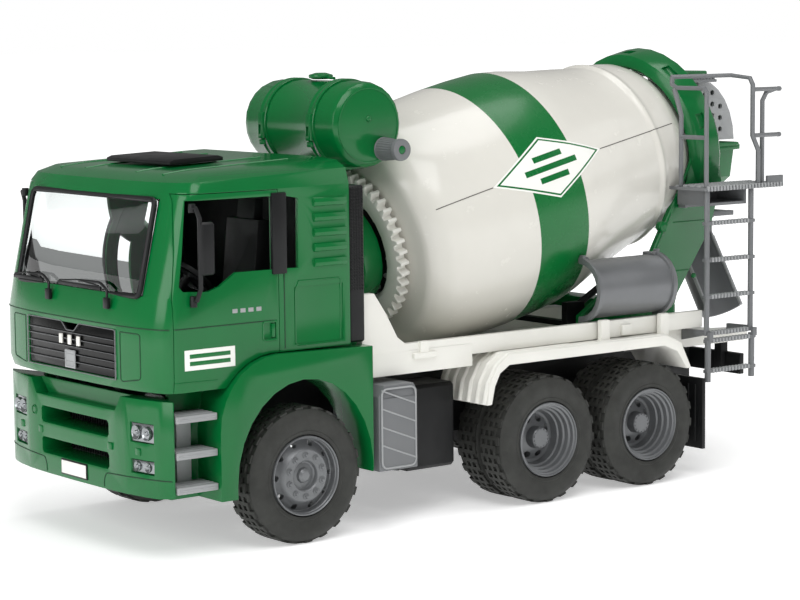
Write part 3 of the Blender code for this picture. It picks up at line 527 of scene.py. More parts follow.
def moulded(node: str, bevel: float = 0.35, angle: float = 35, name: str = "") -> bpy.types.Object:
    """A copy of a CAD node as one skin with softened edges.

    Args:
        node: The node, which the copy stands for.
        bevel: Rounding of its edges, in millimetres, or 0.
        angle: Edges sharper than this are rounded, in degrees.
        name: The copy's name, if it isn't the node's with `_moulding`.

    Returns:
        The copy.
    """
    source = frame["nodes"][node]
    copy = own_copy(source, Matrix.Identity(4))
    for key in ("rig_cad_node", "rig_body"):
        del copy[key]
    copy.parent = None
    copy.data.materials.clear()
    pick(copy)
    copy.name = name or f"{node}_moulding"
    bpy.ops.mesh.customdata_custom_splitnormals_clear()
    bpy.ops.object.mode_set(mode="EDIT")
    bpy.ops.mesh.select_all(action="SELECT")
    bpy.ops.mesh.remove_doubles(threshold=2e-6)
    bpy.ops.mesh.dissolve_limited(angle_limit=radians(0.8))
    bpy.ops.object.mode_set(mode="OBJECT")
    if bevel:
        rounded(copy, bevel, angle=angle)
    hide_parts(node)
    return copy


# ---------------------------------------------------------------- finishes


def linear(code: str) -> tuple[float, float, float, float]:
    """An sRGB hex colour in the renderer's linear values, opaque.

    Args:
        code: The colour, such as #056630.

    Returns:
        Red, green, blue and an alpha of 1.
    """
    parts = [int(code[i : i + 2], 16) / 255 for i in (1, 3, 5)]
    values = [v / 12.92 if v <= 0.04045 else ((v + 0.055) / 1.055) ** 2.4 for v in parts]
    return (*values, 1.0)


def add_node(tree: bpy.types.NodeTree, kind: str, settings: dict | None = None,
             inputs: dict | None = None) -> bpy.types.Node:
    """Adds a shader node.

    Args:
        tree: The material's nodes.
        kind: The node's type.
        settings: Its attributes.
        inputs: Its sockets by name, each a value or a pair of node and output name.

    Returns:
        The node.
    """
    made = tree.nodes.new(kind)
    for key, value in (settings or {}).items():
        setattr(made, key, value)
    for key, value in (inputs or {}).items():
        if isinstance(value, tuple) and isinstance(value[0], bpy.types.Node):
            tree.links.new(value[0].outputs[value[1]], made.inputs[key])
        else:
            made.inputs[key].default_value = value
    return made


@dataclass(frozen=True)
class MouldedPlastic:
    """Injection-moulded plastic: an even colour with faint flow mottling, a fine mould grain, rubbed spots.

    Attributes:
        name: The real plastic and its finish.
        slot: The record's slot; not used.
        colour: sRGB hex.
        roughness: Typical value, varied over the surface.
        mottle: How far the brightness wanders, as a fraction.
        grain_mm: Size of the mould's grain.
        grain_depth_mm: Its depth.
        scuff: How much rougher the handled spots are.
        metallic: Share of metallic pigment.
        coat: Strength of the polished skin.
        flow_mm: Size of the mottling.
        shine: Strength of the mirror-like reflection.
    """

    name: str
    slot: str
    colour: str
    roughness: float
    mottle: float = 0.05
    grain_mm: float = 0.9
    grain_depth_mm: float = 0.012
    scuff: float = 0.1
    metallic: float = 0.0
    coat: float = 0.0
    flow_mm: float = 28.0
    shine: float = 0.4

    def material(self) -> bpy.types.Material:
        """The finish as nodes, made once."""
        found = bpy.data.materials.get(self.name)
        if found:
            return found
        material = bpy.data.materials.new(self.name)
        material.use_nodes = True
        tree = material.node_tree
        tree.nodes.clear()
        place = add_node(tree, "ShaderNodeTexCoord")
        # Melt that cooled unevenly: brightness wanders over a few centimetres.
        flow = add_node(tree, "ShaderNodeTexNoise", None,
                        {"Vector": (place, "Object"), "Scale": 1 / (self.flow_mm * MM), "Detail": 3.0,
                         "Roughness": 0.55})
        bright = add_node(tree, "ShaderNodeMapRange", None,
                          {"Value": (flow, "Fac"), "From Min": 0.3, "From Max": 0.7,
                           "To Min": 1 - self.mottle, "To Max": 1 + self.mottle})
        tint = add_node(tree, "ShaderNodeHueSaturation", None,
                        {"Color": linear(self.colour), "Value": (bright, "Result")})
        # Handling: patches about a centimetre across are rubbed duller.
        rubbed = add_node(tree, "ShaderNodeTexNoise", None,
                          {"Vector": (place, "Object"), "Scale": 1 / (11 * MM), "Detail": 5.0,
                           "Roughness": 0.7})
        dull = add_node(tree, "ShaderNodeMapRange", None,
                        {"Value": (rubbed, "Fac"), "From Min": 0.42, "From Max": 0.75,
                         "To Min": self.roughness, "To Max": min(self.roughness + self.scuff, 0.95)})
        # Spark-eroded mould: grain drawn a little coarser than its real 0.1 mm so that it shows.
        grain = add_node(tree, "ShaderNodeTexNoise", None,
                         {"Vector": (place, "Object"), "Scale": 1 / (self.grain_mm * MM), "Detail": 2.0})
        relief = add_node(tree, "ShaderNodeBump", None,
                          {"Height": (grain, "Fac"), "Strength": 0.6, "Distance": self.grain_depth_mm * MM})
        shader = add_node(tree, "ShaderNodeBsdfPrincipled", None,
                          {"Base Color": (tint, "Color"), "Roughness": (dull, "Result"),
                           "Normal": (relief, "Normal"), "Metallic": self.metallic,
                           "Coat Weight": self.coat, "Coat Roughness": 0.08,
                           "Specular IOR Level": self.shine})
        if self.metallic < 0.5:
            shader.inputs["IOR"].default_value = 1.53
        add_node(tree, "ShaderNodeOutputMaterial", None, {"Surface": (shader, "BSDF")})
        return material


@dataclass(frozen=True)
class ClearPlastic:
    """Clear polystyrene: see-through and glossy, with faint flow waves.

    Attributes:
        name: The real plastic and its finish.
        slot: The record's slot; not used.
        colour: sRGB hex.
        roughness: Typical value, varied over the surface.
    """

    name: str = "clear_polystyrene_polished"
    slot: str = "clear_ps"
    colour: str = "#f6fbfa"
    roughness: float = 0.008

    def material(self) -> bpy.types.Material:
        """The finish as nodes, made once."""
        found = bpy.data.materials.get(self.name)
        if found:
            return found
        material = bpy.data.materials.new(self.name)
        material.use_nodes = True
        tree = material.node_tree
        tree.nodes.clear()
        place = add_node(tree, "ShaderNodeTexCoord")
        # Moulded sheet is never quite flat: waves a centimetre long bend its reflections.
        waves = add_node(tree, "ShaderNodeTexNoise", None,
                         {"Vector": (place, "Object"), "Scale": 1 / (14 * MM), "Detail": 1.0})
        relief = add_node(tree, "ShaderNodeBump", None,
                          {"Height": (waves, "Fac"), "Strength": 0.2, "Distance": 0.004 * MM})
        haze = add_node(tree, "ShaderNodeMapRange", None,
                        {"Value": (waves, "Fac"), "To Min": self.roughness, "To Max": self.roughness * 1.6})
        shader = add_node(tree, "ShaderNodeBsdfPrincipled", None,
                          {"Base Color": linear(self.colour), "Transmission Weight": 1.0, "IOR": 1.49,
                           "Roughness": (haze, "Result"), "Normal": (relief, "Normal")})
        add_node(tree, "ShaderNodeOutputMaterial", None, {"Surface": (shader, "BSDF")})
        return material


GREEN = MouldedPlastic("abs_green_polished_mould", "green_abs", "#056630", 0.19, mottle=0.04, scuff=0.04,
                       grain_depth_mm=0.002, coat=0.08, shine=0.3)
# Dark green for the part lines: painted shade in the gaps, not a colour of the plastic.
GREEN_GAP_PAINTED_SHADE = MouldedPlastic("abs_green_in_parting_gaps", "green_abs", "#08381d", 0.55, mottle=0.12)
DRUM_WHITE = MouldedPlastic("abs_warm_grey_white_polished", "drum_abs", "#d9d7cf", 0.22, mottle=0.02,
                            scuff=0.08, coat=0.25)
# Dark grey for the drum's part line: painted shade in the gap between the halves.
DRUM_GAP_PAINTED_SHADE = MouldedPlastic("shadowed_gap_between_halves", "drum_abs", "#4c4b47", 0.6, mottle=0.1)
BAND_GREEN = MouldedPlastic("pad_printed_green_ink", "green_abs", "#06692f", 0.24, mottle=0.04, coat=0.1,
                            shine=0.3)
LABEL_WHITE = MouldedPlastic("vinyl_label_white", "white_abs", "#f1f1ec", 0.32, mottle=0.015,
                             grain_depth_mm=0.004)
WHITE = MouldedPlastic("abs_ivory_white_satin", "white_abs", "#e9e8e1", 0.3, mottle=0.025, scuff=0.1,
                       coat=0.1)
GREY = MouldedPlastic("abs_grey_fine_grain", "grey_abs", "#6f7173", 0.42, mottle=0.05, grain_mm=0.7,
                      grain_depth_mm=0.02)
# Light grey: the own colour of the ladders, treads and hood, and a painted highlight on the fuel tank's
# strips and the chute's lips.
LIGHT_GREY = MouldedPlastic("abs_light_grey_rubbed_edge", "grey_abs", "#9c9e9f", 0.36, mottle=0.05)
SILVER = MouldedPlastic("abs_silver_pigmented", "silver_abs", "#737577", 0.34, mottle=0.07, metallic=0.35,
                        grain_mm=0.5)
GLOSS_BLACK = MouldedPlastic("abs_black_polished", "black_abs", "#0b0c0c", 0.22, mottle=0.1,
                             grain_depth_mm=0.004, shine=0.2)
BLACK = MouldedPlastic("abs_black_satin", "black_abs", "#131415", 0.4, mottle=0.14, grain_depth_mm=0.02,
                       scuff=0.16, shine=0.25)
RUBBER = MouldedPlastic("soft_pvc_tyre_moulded", "tyre_pvc", "#2f302d", 0.6, mottle=0.22, grain_mm=0.55,
                        grain_depth_mm=0.05, scuff=0.2, flow_mm=9.0)
REFLECTOR = MouldedPlastic("vacuum_metallised_reflector", "lamp_ps", "#94989a", 0.2, mottle=0.1,
                           metallic=0.9, grain_depth_mm=0.006)
STEEL = MouldedPlastic("drawn_steel_wire", "steel_axle", "#b9babb", 0.3, mottle=0.06, metallic=1.0,
                       grain_mm=0.4)
CLEAR = ClearPlastic()
SLOT_FINISH = {"green_abs": GREEN, "white_abs": WHITE, "drum_abs": DRUM_WHITE, "grey_abs": GREY,
               "silver_abs": SILVER, "black_abs": BLACK, "tyre_pvc": RUBBER, "clear_ps": CLEAR,
               "lamp_ps": REFLECTOR, "steel_axle": STEEL}


def dressed(obj: bpy.types.Object, finish: MouldedPlastic | ClearPlastic, body: str,
            smooth: float = 30) -> bpy.types.Object:
    """Gives a finished piece its material, its shading and its body.

    Args:
        obj: The piece.
        finish: What it is moulded from.
        body: The body that it moves with.
        smooth: Edges sharper than this stay crisp, in degrees.

    Returns:
        The piece.
    """
    pick(obj)
    if not obj.data.materials:
        obj.data.materials.append(finish.material())
    bpy.ops.object.shade_smooth_by_angle(angle=radians(smooth))
    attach(obj, body)
    LOG.info("%s: %s on %s, %d faces", obj.name, finish.name, body, len(obj.data.polygons))
    return obj


# ---------------------------------------------------------------- wheels


@dataclass
class Wheel:
    """One wheel: a tyre with staggered tread blocks on a moulded rim.

    Attributes:
        axle: The node prefix, such as front_axle.
        body: The body that it turns with.
        x: Axle's place along the truck.
        outer: Distance of the tyre's outer face from the middle.
        width: Tyre's width.
        twin: Two tread bands with a gap between.
        height: Axle's height.
        tyre_radius: Over the tread blocks.
        groove: Depth between the blocks.
        rim_radius: Outside of the rim, where the tyre's bead sits.
        steps: Facets round the tyre, a multiple of the tread's pitch.
        nuts: Wheel nuts on a front rim.
    """

    axle: str
    body: Body
    x: float
    outer: float
    width: float
    twin: bool
    height: float = 37.0
    tyre_radius: float = 37.0
    groove: float = 1.25
    rim_radius: float = 21.5
    steps: int = 88
    nuts: int = 10

    def build(self) -> None:
        """Makes the left wheel and its mirror image."""
        foot, axis = at(self.x, self.outer, self.height), Vector((0, -1, 0))
        tyre = self.tyre(foot, axis)
        rim = self.rear_rim(foot, axis) if self.twin else self.front_rim(foot, axis)
        for piece, finish, kind in ((tyre, RUBBER, "tyre"), (rim, SILVER, "rim")):
            left = piece
            left.name = f"{self.axle}_{kind}_moulding_left"
            right = mirrored(f"{self.axle}_{kind}_moulding_right", left)
            for obj, side in ((left, Side.LEFT), (right, Side.RIGHT)):
                dressed(obj, finish, self.body.value, 28)
                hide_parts(f"{self.axle}_{kind}_{side.word}")

    def tread_rows(self, low: float, high: float, rows: int) -> list[float]:
        """Where the tread's rows start and end across one band."""
        return [low + (high - low) * i / rows for i in range(rows + 1)]

    def tyre(self, foot: Vector, axis: Vector) -> bpy.types.Object:
        """The tyre's section spun round the axle, its blocks raised from a staggered pattern of faces.

        Args:
            foot: Middle of the wheel's outer face.
            axis: Inwards along the axle.

        Returns:
            The tyre.
        """
        floor, bead = self.tyre_radius - self.groove, self.rim_radius + 0.25
        wall = [(bead, 2.2), (bead + 0.5, 0.9), (bead + 2.2, 0.35), (bead + 2.8, 0.7), (28.0, 0.1),
                (31.4, 0.2), (33.4, 1.0)]
        half = self.width / 2
        margin, gap = 2.6, 2.4
        bands = [(margin, self.width - margin)]
        if self.twin:
            bands = [(margin, half - gap), (half + gap, self.width - margin)]
        profile, rows = list(wall), []
        for low, high in bands:
            count = 7 if self.twin else 8
            edges = self.tread_rows(low, high, count)
            rows += list(zip(edges, edges[1:]))
            profile += [(floor - (0.35 if s in (edges[0], edges[-1]) else 0), s) for s in edges]
            if self.twin and low < half:
                profile += [(32.0, half - 0.8), (32.0, half + 0.8)]
        profile += [(r, self.width - s) for r, s in reversed(wall)]
        profile.append(profile[0])
        obj = turned(f"{self.axle}_tyre", profile, foot, axis, self.steps)
        lows = [low for low, _ in rows]

        def is_block(centre: Vector, normal: Vector) -> bool:
            """Every other face of a row, staggered from row to row."""
            offset = centre - foot
            along = offset.dot(axis) / MM
            row = next((i for i, (low, high) in enumerate(rows) if low < along < high), None)
            if row is None or offset.z**2 + offset.x**2 < ((floor - 1) * MM) ** 2:
                return False
            step = int(round(atan2(offset.x, offset.z) / tau * self.steps - 0.5))
            edge = row in (0, len(lows) - 1)
            return step % 4 < 2 if edge else (step + 2 * (row % 2)) % 4 < 3

        choose_faces(obj, is_block)
        bpy.ops.mesh.inset(thickness=0.22 * MM, use_individual=False)
        bpy.ops.mesh.extrude_region_shrink_fatten(TRANSFORM_OT_shrink_fatten={"value": self.groove * MM})
        bpy.ops.mesh.select_all(action="SELECT")
        bpy.ops.mesh.normals_make_consistent(inside=False)
        bpy.ops.object.mode_set(mode="OBJECT")
        return obj

    def front_rim(self, foot: Vector, axis: Vector) -> bpy.types.Object:
        """Shallow disc with a proud hub, ten nuts and ten hand holes.

        Args:
            foot: Middle of the wheel's outer face.
            axis: Inwards along the axle.

        Returns:
            The rim.
        """
        profile = [(0, 0.8), (2.4, 1.1), (3.7, 2.1), (4.3, 3.6), (6.6, 4.0), (7.4, 3.6), (7.9, 1.6),
                   (8.5, 1.0), (13.6, 1.0), (14.3, 1.5), (15.4, 3.4), (17.0, 4.6), (19.0, 5.8), (19.6, 5.4),
                   (19.9, 2.0), (20.3, 1.6), (20.5, 0.5), (20.9, 0.1), (21.3, 0.2), (21.5, 1.0),
                   (21.5, 20.0), (19.6, 20.0), (19.4, 9.4), (17.0, 8.0), (14.0, 6.6), (0, 6.6)]
        disc = turned("front_disc", profile, foot, axis, 96)
        hole = barrel("hand_hole", foot + axis * 1 * MM + Vector((0, 0, 17.5)) * MM,
                      foot + axis * 14 * MM + Vector((0, 0, 17.5)) * MM, 1.75, 16, 0)
        carved(disc, ring("hand_holes", hole, self.nuts, foot, axis, pi / self.nuts))
        nut_foot = foot + Vector((0, 0, 11.1)) * MM
        nut = turned("nut", [(0, -0.9), (0.8, -0.7), (1.15, 0.0), (1.2, 0.4), (1.8, 0.55), (1.9, 1.3),
                             (0, 1.3)], nut_foot, axis, 18)
        return joined("front_rim", [disc, ring("nuts", nut, self.nuts, foot, axis)])

    def rear_rim(self, foot: Vector, axis: Vector) -> bpy.types.Object:
        """Deep stepped dish with a drum hub, oval hand holes and a ring of small bolts.

        Args:
            foot: Middle of the wheel's outer face.
            axis: Inwards along the axle.

        Returns:
            The rim.
        """
        end = self.width - 2.0
        profile = [(0, 7.4), (5.6, 7.4), (6.1, 7.9), (6.4, 13.4), (8.2, 13.8), (13.4, 16.2), (15.0, 16.0),
                   (15.5, 14.8), (15.8, 11.6), (16.7, 11.0), (16.9, 7.8), (17.9, 7.2), (18.1, 4.4),
                   (19.2, 3.8), (19.4, 1.6), (20.3, 1.2), (20.6, 0.2), (21.1, 0.0), (21.5, 0.6),
                   (21.5, end), (19.6, end), (19.4, 20.0), (13.4, 18.6), (0, 17.0)]
        disc = turned("rear_disc", profile, foot, axis, 96)
        hole = barrel("oval", foot + axis * 10 * MM + Vector((0, 0, 10.9)) * MM,
                      foot + axis * 24 * MM + Vector((0, 0, 10.9)) * MM, 1.75, 16, 0)
        choose_faces(hole, lambda centre, normal: True)
        middle = foot + Vector((0, 0, 10.9)) * MM
        bpy.ops.transform.resize(value=(1.45, 1, 1), center_override=middle)
        bpy.ops.object.mode_set(mode="OBJECT")
        carved(disc, ring("ovals", hole, 8, foot, axis, pi / 8))
        bolt_foot = foot + Vector((0, 0, 5.2)) * MM + axis * 7.4 * MM
        bolt = turned("bolt", [(0, -0.6), (0.42, -0.45), (0.55, 0.3), (0, 0.3)], bolt_foot, axis, 10)
        return joined("rear_rim", [disc, ring("bolts", bolt, 14, foot, axis)])


# ---------------------------------------------------------------- drum


@dataclass
class Drum:
    """The tilted mixing drum with its printed band, part line, rib and label.

    Attributes:
        foot: Middle of its nose.
        tilt: Its axis above level, in degrees.
        band: Where the green band starts and ends along the axis.
        outside: Radius and distance along the axis of the outer skin.
        inside: The same for the inner skin, from the mouth back to the nose.
        label_turn: The left label's angle from the top, in degrees.
        label_long: The label's length along the axis.
        label_high: The label's height round the drum.
    """

    foot: Point = (27.84, 0.0, 148.33)
    tilt: float = 13.18
    band: Span = (71.5, 109.9)
    outside: Sequence[Span] = ((0, -14), (6.4, -14), (7, -13.4), (7, -3), (30, -2.2), (56, -1.2),
                               (59.6, 1.0), (62.5, 4.5), (65.6, 8.6), (67.8, 12.7), (70.3, 22.5), (72, 36),
                               (73.4, 54), (74.2, 71.5), (74.3, 92), (73.7, 109.9), (71.6, 122), (66, 144),
                               (61.6, 166), (57.5, 184.6), (57.7, 186.2), (58.5, 187.4), (58.8, 188.6),
                               (58.5, 189.9), (57.5, 191.0), (57.0, 194), (55.8, 201), (54, 209),
                               (50.2, 216.2), (46, 219.5), (45.8, 222.2), (45.3, 222.5))
    inside: Sequence[Span] = ((43.8, 222.5), (49, 207), (55, 189), (64, 144), (71.5, 109), (72.1, 92),
                              (71.6, 72), (69.5, 36), (59, 6.5), (0, 2))
    label_turn: float = 71.0
    label_long: float = 84.0
    label_high: float = 36.0

    @property
    def middle(self) -> float:
        """Middle of the band along the axis, where the label sits."""
        return sum(self.band) / 2

    @property
    def axis(self) -> Vector:
        """Towards the mouth."""
        return Vector((-cos(radians(self.tilt)), 0, sin(radians(self.tilt))))

    @property
    def top(self) -> Vector:
        """Straight out of the drum's upper side."""
        return Vector((sin(radians(self.tilt)), 0, cos(radians(self.tilt))))

    def out(self, turn: float) -> Vector:
        """The outward direction at an angle from the top towards the truck's left, in degrees."""
        return self.top * cos(radians(turn)) + Vector((0, 1, 0)) * sin(radians(turn))

    def build(self) -> None:
        """Makes the drum and everything printed on it."""
        shell = self.shell()
        dressed(shell, DRUM_WHITE, Body.DRUM.value, 40)
        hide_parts("drum_shell")
        for turn, side in ((self.label_turn, "left"), (self.label_turn - 180, "right")):
            self.part_line(shell, turn, side)
        for turn, side in ((self.label_turn, "left"), (self.label_turn - 180, "right")):
            self.label(shell, turn, side)

    def shell(self) -> bpy.types.Object:
        """Both skins in one turned shape, its band faces in the band's colour."""
        foot = at(*self.foot)
        obj = turned("drum_shell_turned", list(self.outside) + list(self.inside), foot, self.axis, 128)
        obj.data.materials.append(DRUM_WHITE.material())
        obj.data.materials.append(BAND_GREEN.material())
        for face in obj.data.polygons:
            offset = face.center - foot
            along = offset.dot(self.axis)
            across = (offset - self.axis * along).length
            if self.band[0] * MM < along < self.band[1] * MM and across > 72.9 * MM:
                face.material_index = 1
        return obj

    def part_line(self, shell: bpy.types.Object, turn: float, side: str) -> None:
        """The thin joint between the drum's two halves, drawn as a dark tube: painted shade in the gap."""
        foot = at(*self.foot)
        for name, low, high in (("nose", 9.0, self.middle - self.label_long / 2 - 2),
                                ("mouth", self.middle + self.label_long / 2 + 2, 207.0)):
            clear = foot + self.out(turn) * 90 * MM
            path = [clear + self.axis * (low + (high - low) * i / 8) * MM for i in range(9)]
            line = tube(f"drum_part_line_{name}_{side}", path, 0.26, shell, -self.out(turn), 2)
            dressed(line, DRUM_GAP_PAINTED_SHADE, Body.DRUM.value)

    def label(self, shell: bpy.types.Object, turn: float, side: str) -> None:
        """White diamond with a green outline and a plain motif of bars.

        Args:
            shell: The drum that it lies on.
            turn: Its angle round the drum from the top, in degrees.
            side: Left or right, for the pieces' names.
        """
        centre = at(*self.foot) + self.axis * self.middle * MM + self.out(turn) * 78 * MM
        up = self.out(turn).cross(self.axis).normalized()
        if up.z < 0:
            up.negate()
        along = self.axis
        half_long, half_high = self.label_long / 2, self.label_high / 2
        sheets = [("edge", 1.045, LABEL_WHITE, 0.06), ("outline", 0.985, BAND_GREEN, 0.13),
                  ("field", 0.925, LABEL_WHITE, 0.2)]
        for name, size, finish, lift in sheets:
            corners = [centre + along * (a * half_long * size) * MM + up * (b * half_high * size) * MM
                       for a, b in ((-1, 0), (0, -1), (1, 0), (0, 1))]
            self.sheet(f"drum_label_{name}_{side}", corners, shell, turn, lift, finish)
        for i, (low, high, level) in enumerate(((-11.0, 11.0, 6.4), (-20.0, 20.0, 0.0),
                                                (-11.0, 11.0, -6.4))):
            corners = [centre + along * a * MM + up * b * MM
                       for a, b in ((low, level - 1.7), (high, level - 1.7), (high, level + 1.7),
                                    (low, level + 1.7))]
            self.sheet(f"drum_label_bar_{i}_{side}", corners, shell, turn, 0.27, BAND_GREEN)

    def sheet(self, name: str, corners: list[Vector], shell: bpy.types.Object, turn: float, lift: float,
              finish: MouldedPlastic) -> None:
        """A thin sheet with four corners, laid on the drum.

        Args:
            name: The piece's name.
            corners: Its corners, clear of the drum.
            shell: The drum that it lies on.
            turn: Its angle round the drum from the top, in degrees.
            lift: Its height over the drum, in millimetres.
            finish: What it is made of.
        """
        trace(name, corners)
        bpy.ops.mesh.select_all(action="SELECT")
        bpy.ops.mesh.edge_face_add()
        bpy.ops.mesh.subdivide(number_cuts=27)
        bpy.ops.object.mode_set(mode="OBJECT")
        obj = settled(name)
        for vertex in obj.data.vertices:
            hit, place, _, _ = shell.ray_cast(vertex.co, -self.out(turn))
            if hit:
                vertex.co = place + self.out(turn) * lift * MM
        choose_faces(obj, lambda centre, normal: True)
        bpy.ops.mesh.normals_make_consistent(inside=False)
        bpy.ops.object.mode_set(mode="OBJECT")
        if obj.data.polygons[0].normal.dot(self.out(turn)) < 0:
            obj.data.flip_normals()
        applied(obj, "SOLIDIFY", thickness=0.1 * MM, offset=-1)
        dressed(obj, finish, Body.DRUM.value, 40)


# ---------------------------------------------------------------- cab

FORWARD, BACKWARD = Vector((1, 0, 0)), Vector((-1, 0, 0))
DOWN = Vector((0, 0, -1))


def even(start: Vector, end: Vector, count: int = 12) -> list[Vector]:
    """Evenly spaced points on a straight line."""
    return [start.lerp(end, i / (count - 1)) for i in range(count)]


@dataclass
class Cab:
    """The tilting cab: shell with its part lines, grille, wipers, roof hatch and intake.

    Attributes:
        seam_level: Height of the part line under the windscreen.
        slats: Heights of the grille's bright lines.
        seam: Radius of a part line.
    """

    seam_level: float = 121.5
    slats: Sequence[float] = (98.2, 102.2, 106.2, 110.2, 113.6)
    seam: float = 0.32

    def build(self) -> None:
        """Makes the shell and what is fixed to it."""
        shell = moulded("cab_shell", 0.5)
        dressed(shell, GREEN, Body.CAB.value)
        self.part_lines(shell)
        self.roof(shell)
        self.grille()
        self.wipers()
        self.window_frame()
        self.intake()

    def line(self, name: str, points: Sequence[Vector], shell: bpy.types.Object, towards: Vector,
             finish: MouldedPlastic = GREEN_GAP_PAINTED_SHADE, radius: float | None = None) -> None:
        """A thin joint or bead that follows the shell; by default dark green, painted shade in the joint.
        """
        dressed(tube(name, points, radius or self.seam, shell, towards, 2), finish, Body.CAB.value)

    def part_lines(self, shell: bpy.types.Object) -> None:
        """The joint across the front, the panels beside the grille and the panel behind the door; dark
        green tubes paint the shade in the joints, the side panel's bead keeps the shell's green.

        Args:
            shell: The cab that the lines follow.
        """
        front = even(at(240, -82.4, self.seam_level), at(240, 82.4, self.seam_level), 24)
        self.line("front_part_line", front, shell, BACKWARD)
        for sign in (1, -1):
            word = "left" if sign > 0 else "right"
            panel = eased([at(240, sign * 49, 118.5), at(240, sign * 65, 118.5), at(240, sign * 65, 95),
                           at(240, sign * 49, 92.5), at(240, sign * 49, 118.5)], 2.0)
            self.line(f"front_panel_line_{word}", panel, shell, BACKWARD)
            inward = Vector((0, -sign, 0))
            side = eased([at(134, sign * 95, 141), at(106.5, sign * 95, 141), at(106.5, sign * 95, 107),
                          at(136, sign * 95, 107), at(136, sign * 95, 137), at(134, sign * 95, 141)], 2.0)
            self.line(f"side_panel_line_{word}", side, shell, inward, GREEN, 0.4)
            self.line(f"rear_pillar_line_{word}",
                      even(at(143.2, sign * 95, 106), at(143.2, sign * 95, 146)), shell, inward)

    def roof(self, shell: bpy.types.Object) -> None:
        """Four shallow beads along the roof, starting ahead of the hatch."""
        for i, y in enumerate((-52.0, -26.0, 26.0, 52.0)):
            bead = tube(f"roof_bead_{i}", even(at(197, y, 230), at(118, y, 230), 10), 1.1, shell, DOWN, 3,
                        0.6)
            dressed(bead, GREEN, Body.CAB.value)

    def grille(self) -> None:
        """Dark slatted panel with bright lines, a bright edge and plain badges."""
        panel = moulded("grille", 0.2)
        dressed(panel, GLOSS_BLACK, Body.CAB.value)
        lines = [tube("slat_line", [at(224.5, -44.6, z), at(224.5, 44.6, z)], 0.15,
                      steps=2) for z in self.slats]
        edge = [at(224.3, 45.4, 93.2), at(224.3, 45.4, 119.2), at(224.3, 9, 119.2), at(224.3, 4, 114.8),
                at(224.3, -4, 114.8), at(224.3, -9, 119.2), at(224.3, -45.4, 119.2), at(224.3, -45.4, 93.2),
                at(224.3, 45.4, 93.2)]
        lines.append(tube("grille_edge", eased(edge, 1.2, 3), 0.3, steps=2))
        dressed(joined("grille_bright_lines", lines), SILVER, Body.CAB.value)
        bar = [block("badge_bar", (224.2, 225.2), (y - 1.6, y + 1.6), (107.2, 112.4), 0.35) for y in (-9.0,
                0.0, 9.0)]
        dressed(joined("grille_plain_badge", bar), WHITE, Body.CAB.value)
        frame_badge = block("badge_square", (224.0, 225.0), (-5.2, 5.2), (94.6, 104.4), 0.4)
        dressed(carved(frame_badge, block("badge_gap", (224.6, 226), (-4.2, 4.2), (95.6, 103.4), 0.3)),
                LIGHT_GREY, Body.CAB.value)

    def wipers(self) -> None:
        """Two black arms that lie along the foot of the windscreen."""
        parts = []
        for root, far, tip in ((38.0, 30.0, -14.0), (-22.0, -30.0, -62.0)):
            parts.append(tube("wiper_arm", eased([at(224.0, root, 134.5), at(223.8, root, 139.2),
                                                  at(223.0, far, 142.6), at(222.6, (far + tip) / 2, 142.0)],
                                                  3), 0.75))
            parts.append(block("wiper_blade", (222.0, 223.2), (min(far, tip), max(far, tip)),
                               (138.4, 140.4), 0.3))
            parts.append(tube("wiper_spring",
                              [at(223.0, far - 2, 140.8), at(223.2, (far + tip) / 2, 142.4),
                               at(223.0, tip + 2, 140.8)], 0.45))
            parts.append(block("wiper_clip", (223.2, 225.4), (root - 2.2, root + 2.2), (129.6, 135.4), 0.5))
        dressed(joined("wipers", parts), BLACK, Body.CAB.value)

    def window_frame(self) -> None:
        """Black moulding round the inside of the windscreen."""
        loop = [at(219.6, 0, 137.4), at(219.6, 62.5, 137.4), at(208.6, 62.5, 186.6),
                at(208.6, -62.5, 186.6), at(219.6, -62.5, 137.4), at(219.6, 0, 137.4)]
        dressed(tube("windscreen_inner_moulding", eased(loop, 4), 1.5), BLACK, Body.CAB.value)

    def intake(self) -> None:
        """Black intake beside the cab's rear edge with rows of moulded points."""
        dressed(moulded("air_intake", 0.6), BLACK, Body.CAB.value)
        low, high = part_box("air_intake")
        clear_selection()
        bpy.ops.mesh.primitive_cone_add(vertices=4, radius1=1.0 * MM, radius2=0.35 * MM, depth=0.8 * MM,
                                        location=(low.x + 1.5 * MM, high.y + 0.2 * MM, low.z + 29 * MM),
                                        rotation=(-pi / 2, 0, 0))
        point = rounded(settled("intake_points"), 0.12)
        rows_of("intake_points", point, ((5, Vector((1.75 * MM, 0, 0))), (31, Vector((0, 0, 1.8 * MM)))))
        dressed(point, BLACK, Body.CAB.value, 20)


